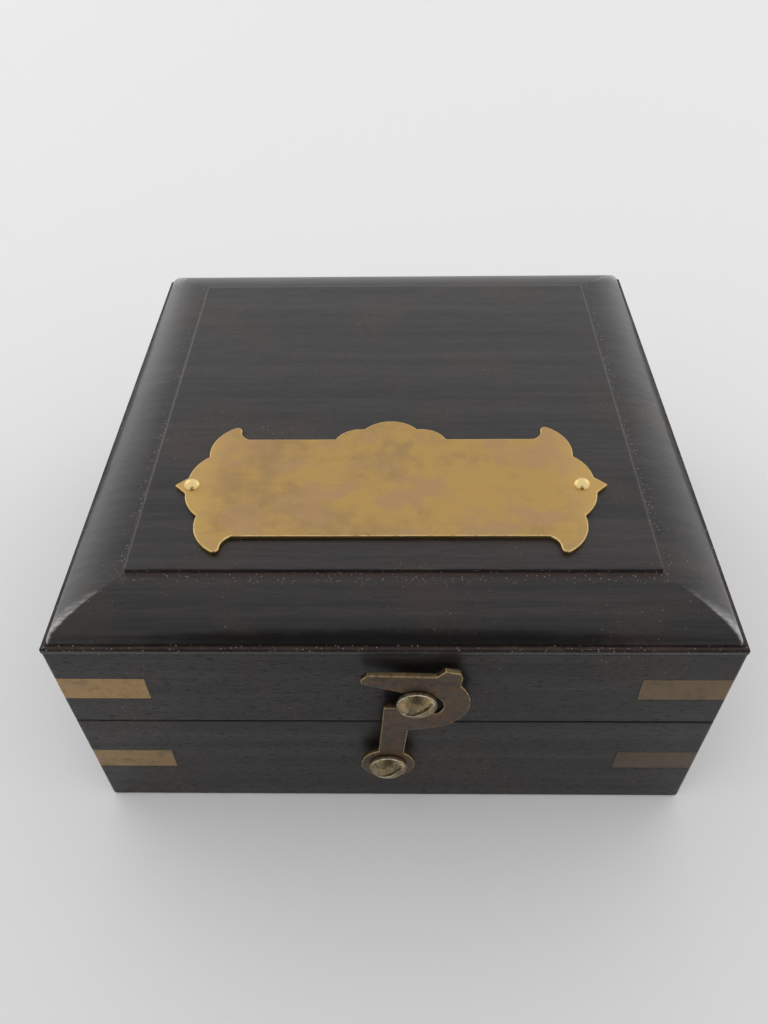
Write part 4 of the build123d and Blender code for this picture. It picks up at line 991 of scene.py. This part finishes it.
def cloth_sheet(node, name, material, square):
    """The upper face of a node as a sheet of cloth with slight waves, as thick as the node."""
    low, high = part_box(node)
    mesh = bmesh.new()
    mesh.from_mesh(NODES[node].data)
    bmesh.ops.remove_doubles(mesh, verts=mesh.verts, dist=WELD * MM)
    other = [f for f in mesh.faces if f.normal.z < 0.9]
    bmesh.ops.delete(mesh, geom=other, context="FACES")
    bmesh.ops.dissolve_limit(mesh, angle_limit=radians(0.5), verts=mesh.verts, edges=mesh.edges)
    for axis, (start, stop) in enumerate(zip(low[:2], high[:2])):
        for k in range(1, int((stop - start) / (square * MM))):
            spot, normal = Vector((0, 0, high[2])), Vector((0, 0, 0))
            spot[axis] = start + k * square * MM
            normal[axis] = 1
            every = mesh.verts[:] + mesh.edges[:] + mesh.faces[:]
            bmesh.ops.bisect_plane(mesh, geom=every, dist=1e-7, plane_co=spot, plane_no=normal)
    bmesh.ops.triangulate(mesh, faces=[f for f in mesh.faces if len(f.verts) > 4])
    area = sum(f.calc_area() for f in mesh.faces)
    for vert in mesh.verts:
        depth = 0.10 + 0.10 * wave.noise(Vector((vert.co.x, vert.co.y, 0.3)) * 160)
        if vert.is_boundary:
            depth += 0.10
        vert.co.z -= depth * MM
    piece = piece_from(name, mesh, material, body_of(node), node)
    body = piece.modifiers.new("thickness", "SOLIDIFY")
    body.thickness = (high[2] - low[2]) * 0.72
    body.offset = -1.0
    flat = high - low
    print(name, round(area * 1e6), "square mm of", round(flat[0] * flat[1] * 1e6))
    return piece


cloth_sheet("tray_baize", "baize_cover", GREEN_BAIZE, 2.4)
cloth_sheet("well_felt", "felt_disc", BROWN_FELT, 3.0)

# %% [markdown]
# ## The padded lid lining
#
# The lid is lined with velvet over a thin wad, so that the closed lid holds the instrument still. The pad is
# a flat closed bag. Blender's cloth blows it up a little from inside, as its stuffing does, while its back is
# held against the board; how far any point may move is capped, so the crown stays low.

# %% Lid lining
PAD_START, PAD_CAP, PAD_FRAMES = 1.3, 0.95, 20
PAD_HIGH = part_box("lid_pad")[1]
PAD_INSET, PAD_CORNER, PAD_CELLS = 0.0004, 0.004, 44


def flat_bag(half, low, high, cells, corner):
    """A closed bag: two square sheets with rounded corners, joined by a narrow side."""
    mesh = bmesh.new()
    sheets = []
    for z in (low, high):
        sheet = {}
        for i in range(cells + 1):
            for j in range(cells + 1):
                x, y = ((2 * t / cells - 1) * half for t in (i, j))
                over_x, over_y = max(0.0, abs(x) - half + corner), max(0.0, abs(y) - half + corner)
                far = sqrt(over_x ** 2 + over_y ** 2)
                if far > 0 and min(over_x, over_y) > 0:
                    pull = max(over_x, over_y) / far
                    x -= (1 - pull) * over_x * (1 if x > 0 else -1)
                    y -= (1 - pull) * over_y * (1 if y > 0 else -1)
                sheet[i, j] = mesh.verts.new((x, y, z))
        sheets.append(sheet)
    for sheet in sheets:
        for i in range(cells):
            for j in range(cells):
                mesh.faces.new((sheet[i, j], sheet[i + 1, j], sheet[i + 1, j + 1], sheet[i, j + 1]))
    rim = [(i, 0) for i in range(cells)] + [(cells, j) for j in range(cells)]
    rim += [(cells - i, cells) for i in range(cells)] + [(0, cells - j) for j in range(cells)]
    for here, after in zip(rim, rim[1:] + rim[:1]):
        mesh.faces.new((sheets[0][here], sheets[0][after], sheets[1][after], sheets[1][here]))
    bmesh.ops.recalc_face_normals(mesh, faces=mesh.faces)
    return mesh


half = PAD_HIGH[0] - PAD_INSET
bag = flat_bag(half, PAD_HIGH[2] - PAD_START * MM, PAD_HIGH[2] - 0.05 * MM, PAD_CELLS, PAD_CORNER)
lining = piece_from("velvet_lining", bag, LID_VELVET, "lid", "lid_pad")
start = [v.co.copy() for v in lining.data.vertices]
back = lining.vertex_groups.new(name="glued")
back.add([v.index for v in lining.data.vertices if v.co.z > PAD_HIGH[2] - 0.3 * MM], 1.0, "REPLACE")
wad = lining.modifiers.new("wad", "CLOTH")
wad.settings.quality = 6
wad.settings.mass = 0.004
wad.settings.tension_stiffness = 8
wad.settings.compression_stiffness = 8
wad.settings.bending_stiffness = 0.05
wad.settings.use_pressure = True
wad.settings.uniform_pressure_force = 4
wad.settings.vertex_group_mass = "glued"
wad.settings.effector_weights.gravity = 0
wad.collision_settings.use_collision = False
for frame_number in range(1, PAD_FRAMES + 1):
    bpy.context.scene.frame_set(frame_number)
evaluated = lining.evaluated_get(bpy.context.evaluated_depsgraph_get())
puffed = [v.co.copy() for v in evaluated.data.vertices]
lining.modifiers.remove(wad)
bpy.context.scene.frame_set(1)
lining.vertex_groups.clear()
moves = [b - a for a, b in zip(start, puffed)]
for vert, first, move in zip(lining.data.vertices, start, moves):
    far = move.length / MM
    kept = min(far, PAD_CAP * far / (far + PAD_CAP) * 1.6, PAD_CAP)
    vert.co = first + move * (kept / far if far else 0)
print("pad moved by", round(max(m.length for m in moves) / MM, 2), "mm before the cap of", PAD_CAP)
smooth = lining.modifiers.new("smooth", "SUBSURF")
smooth.levels = smooth.render_levels = 1
print("lid lined")
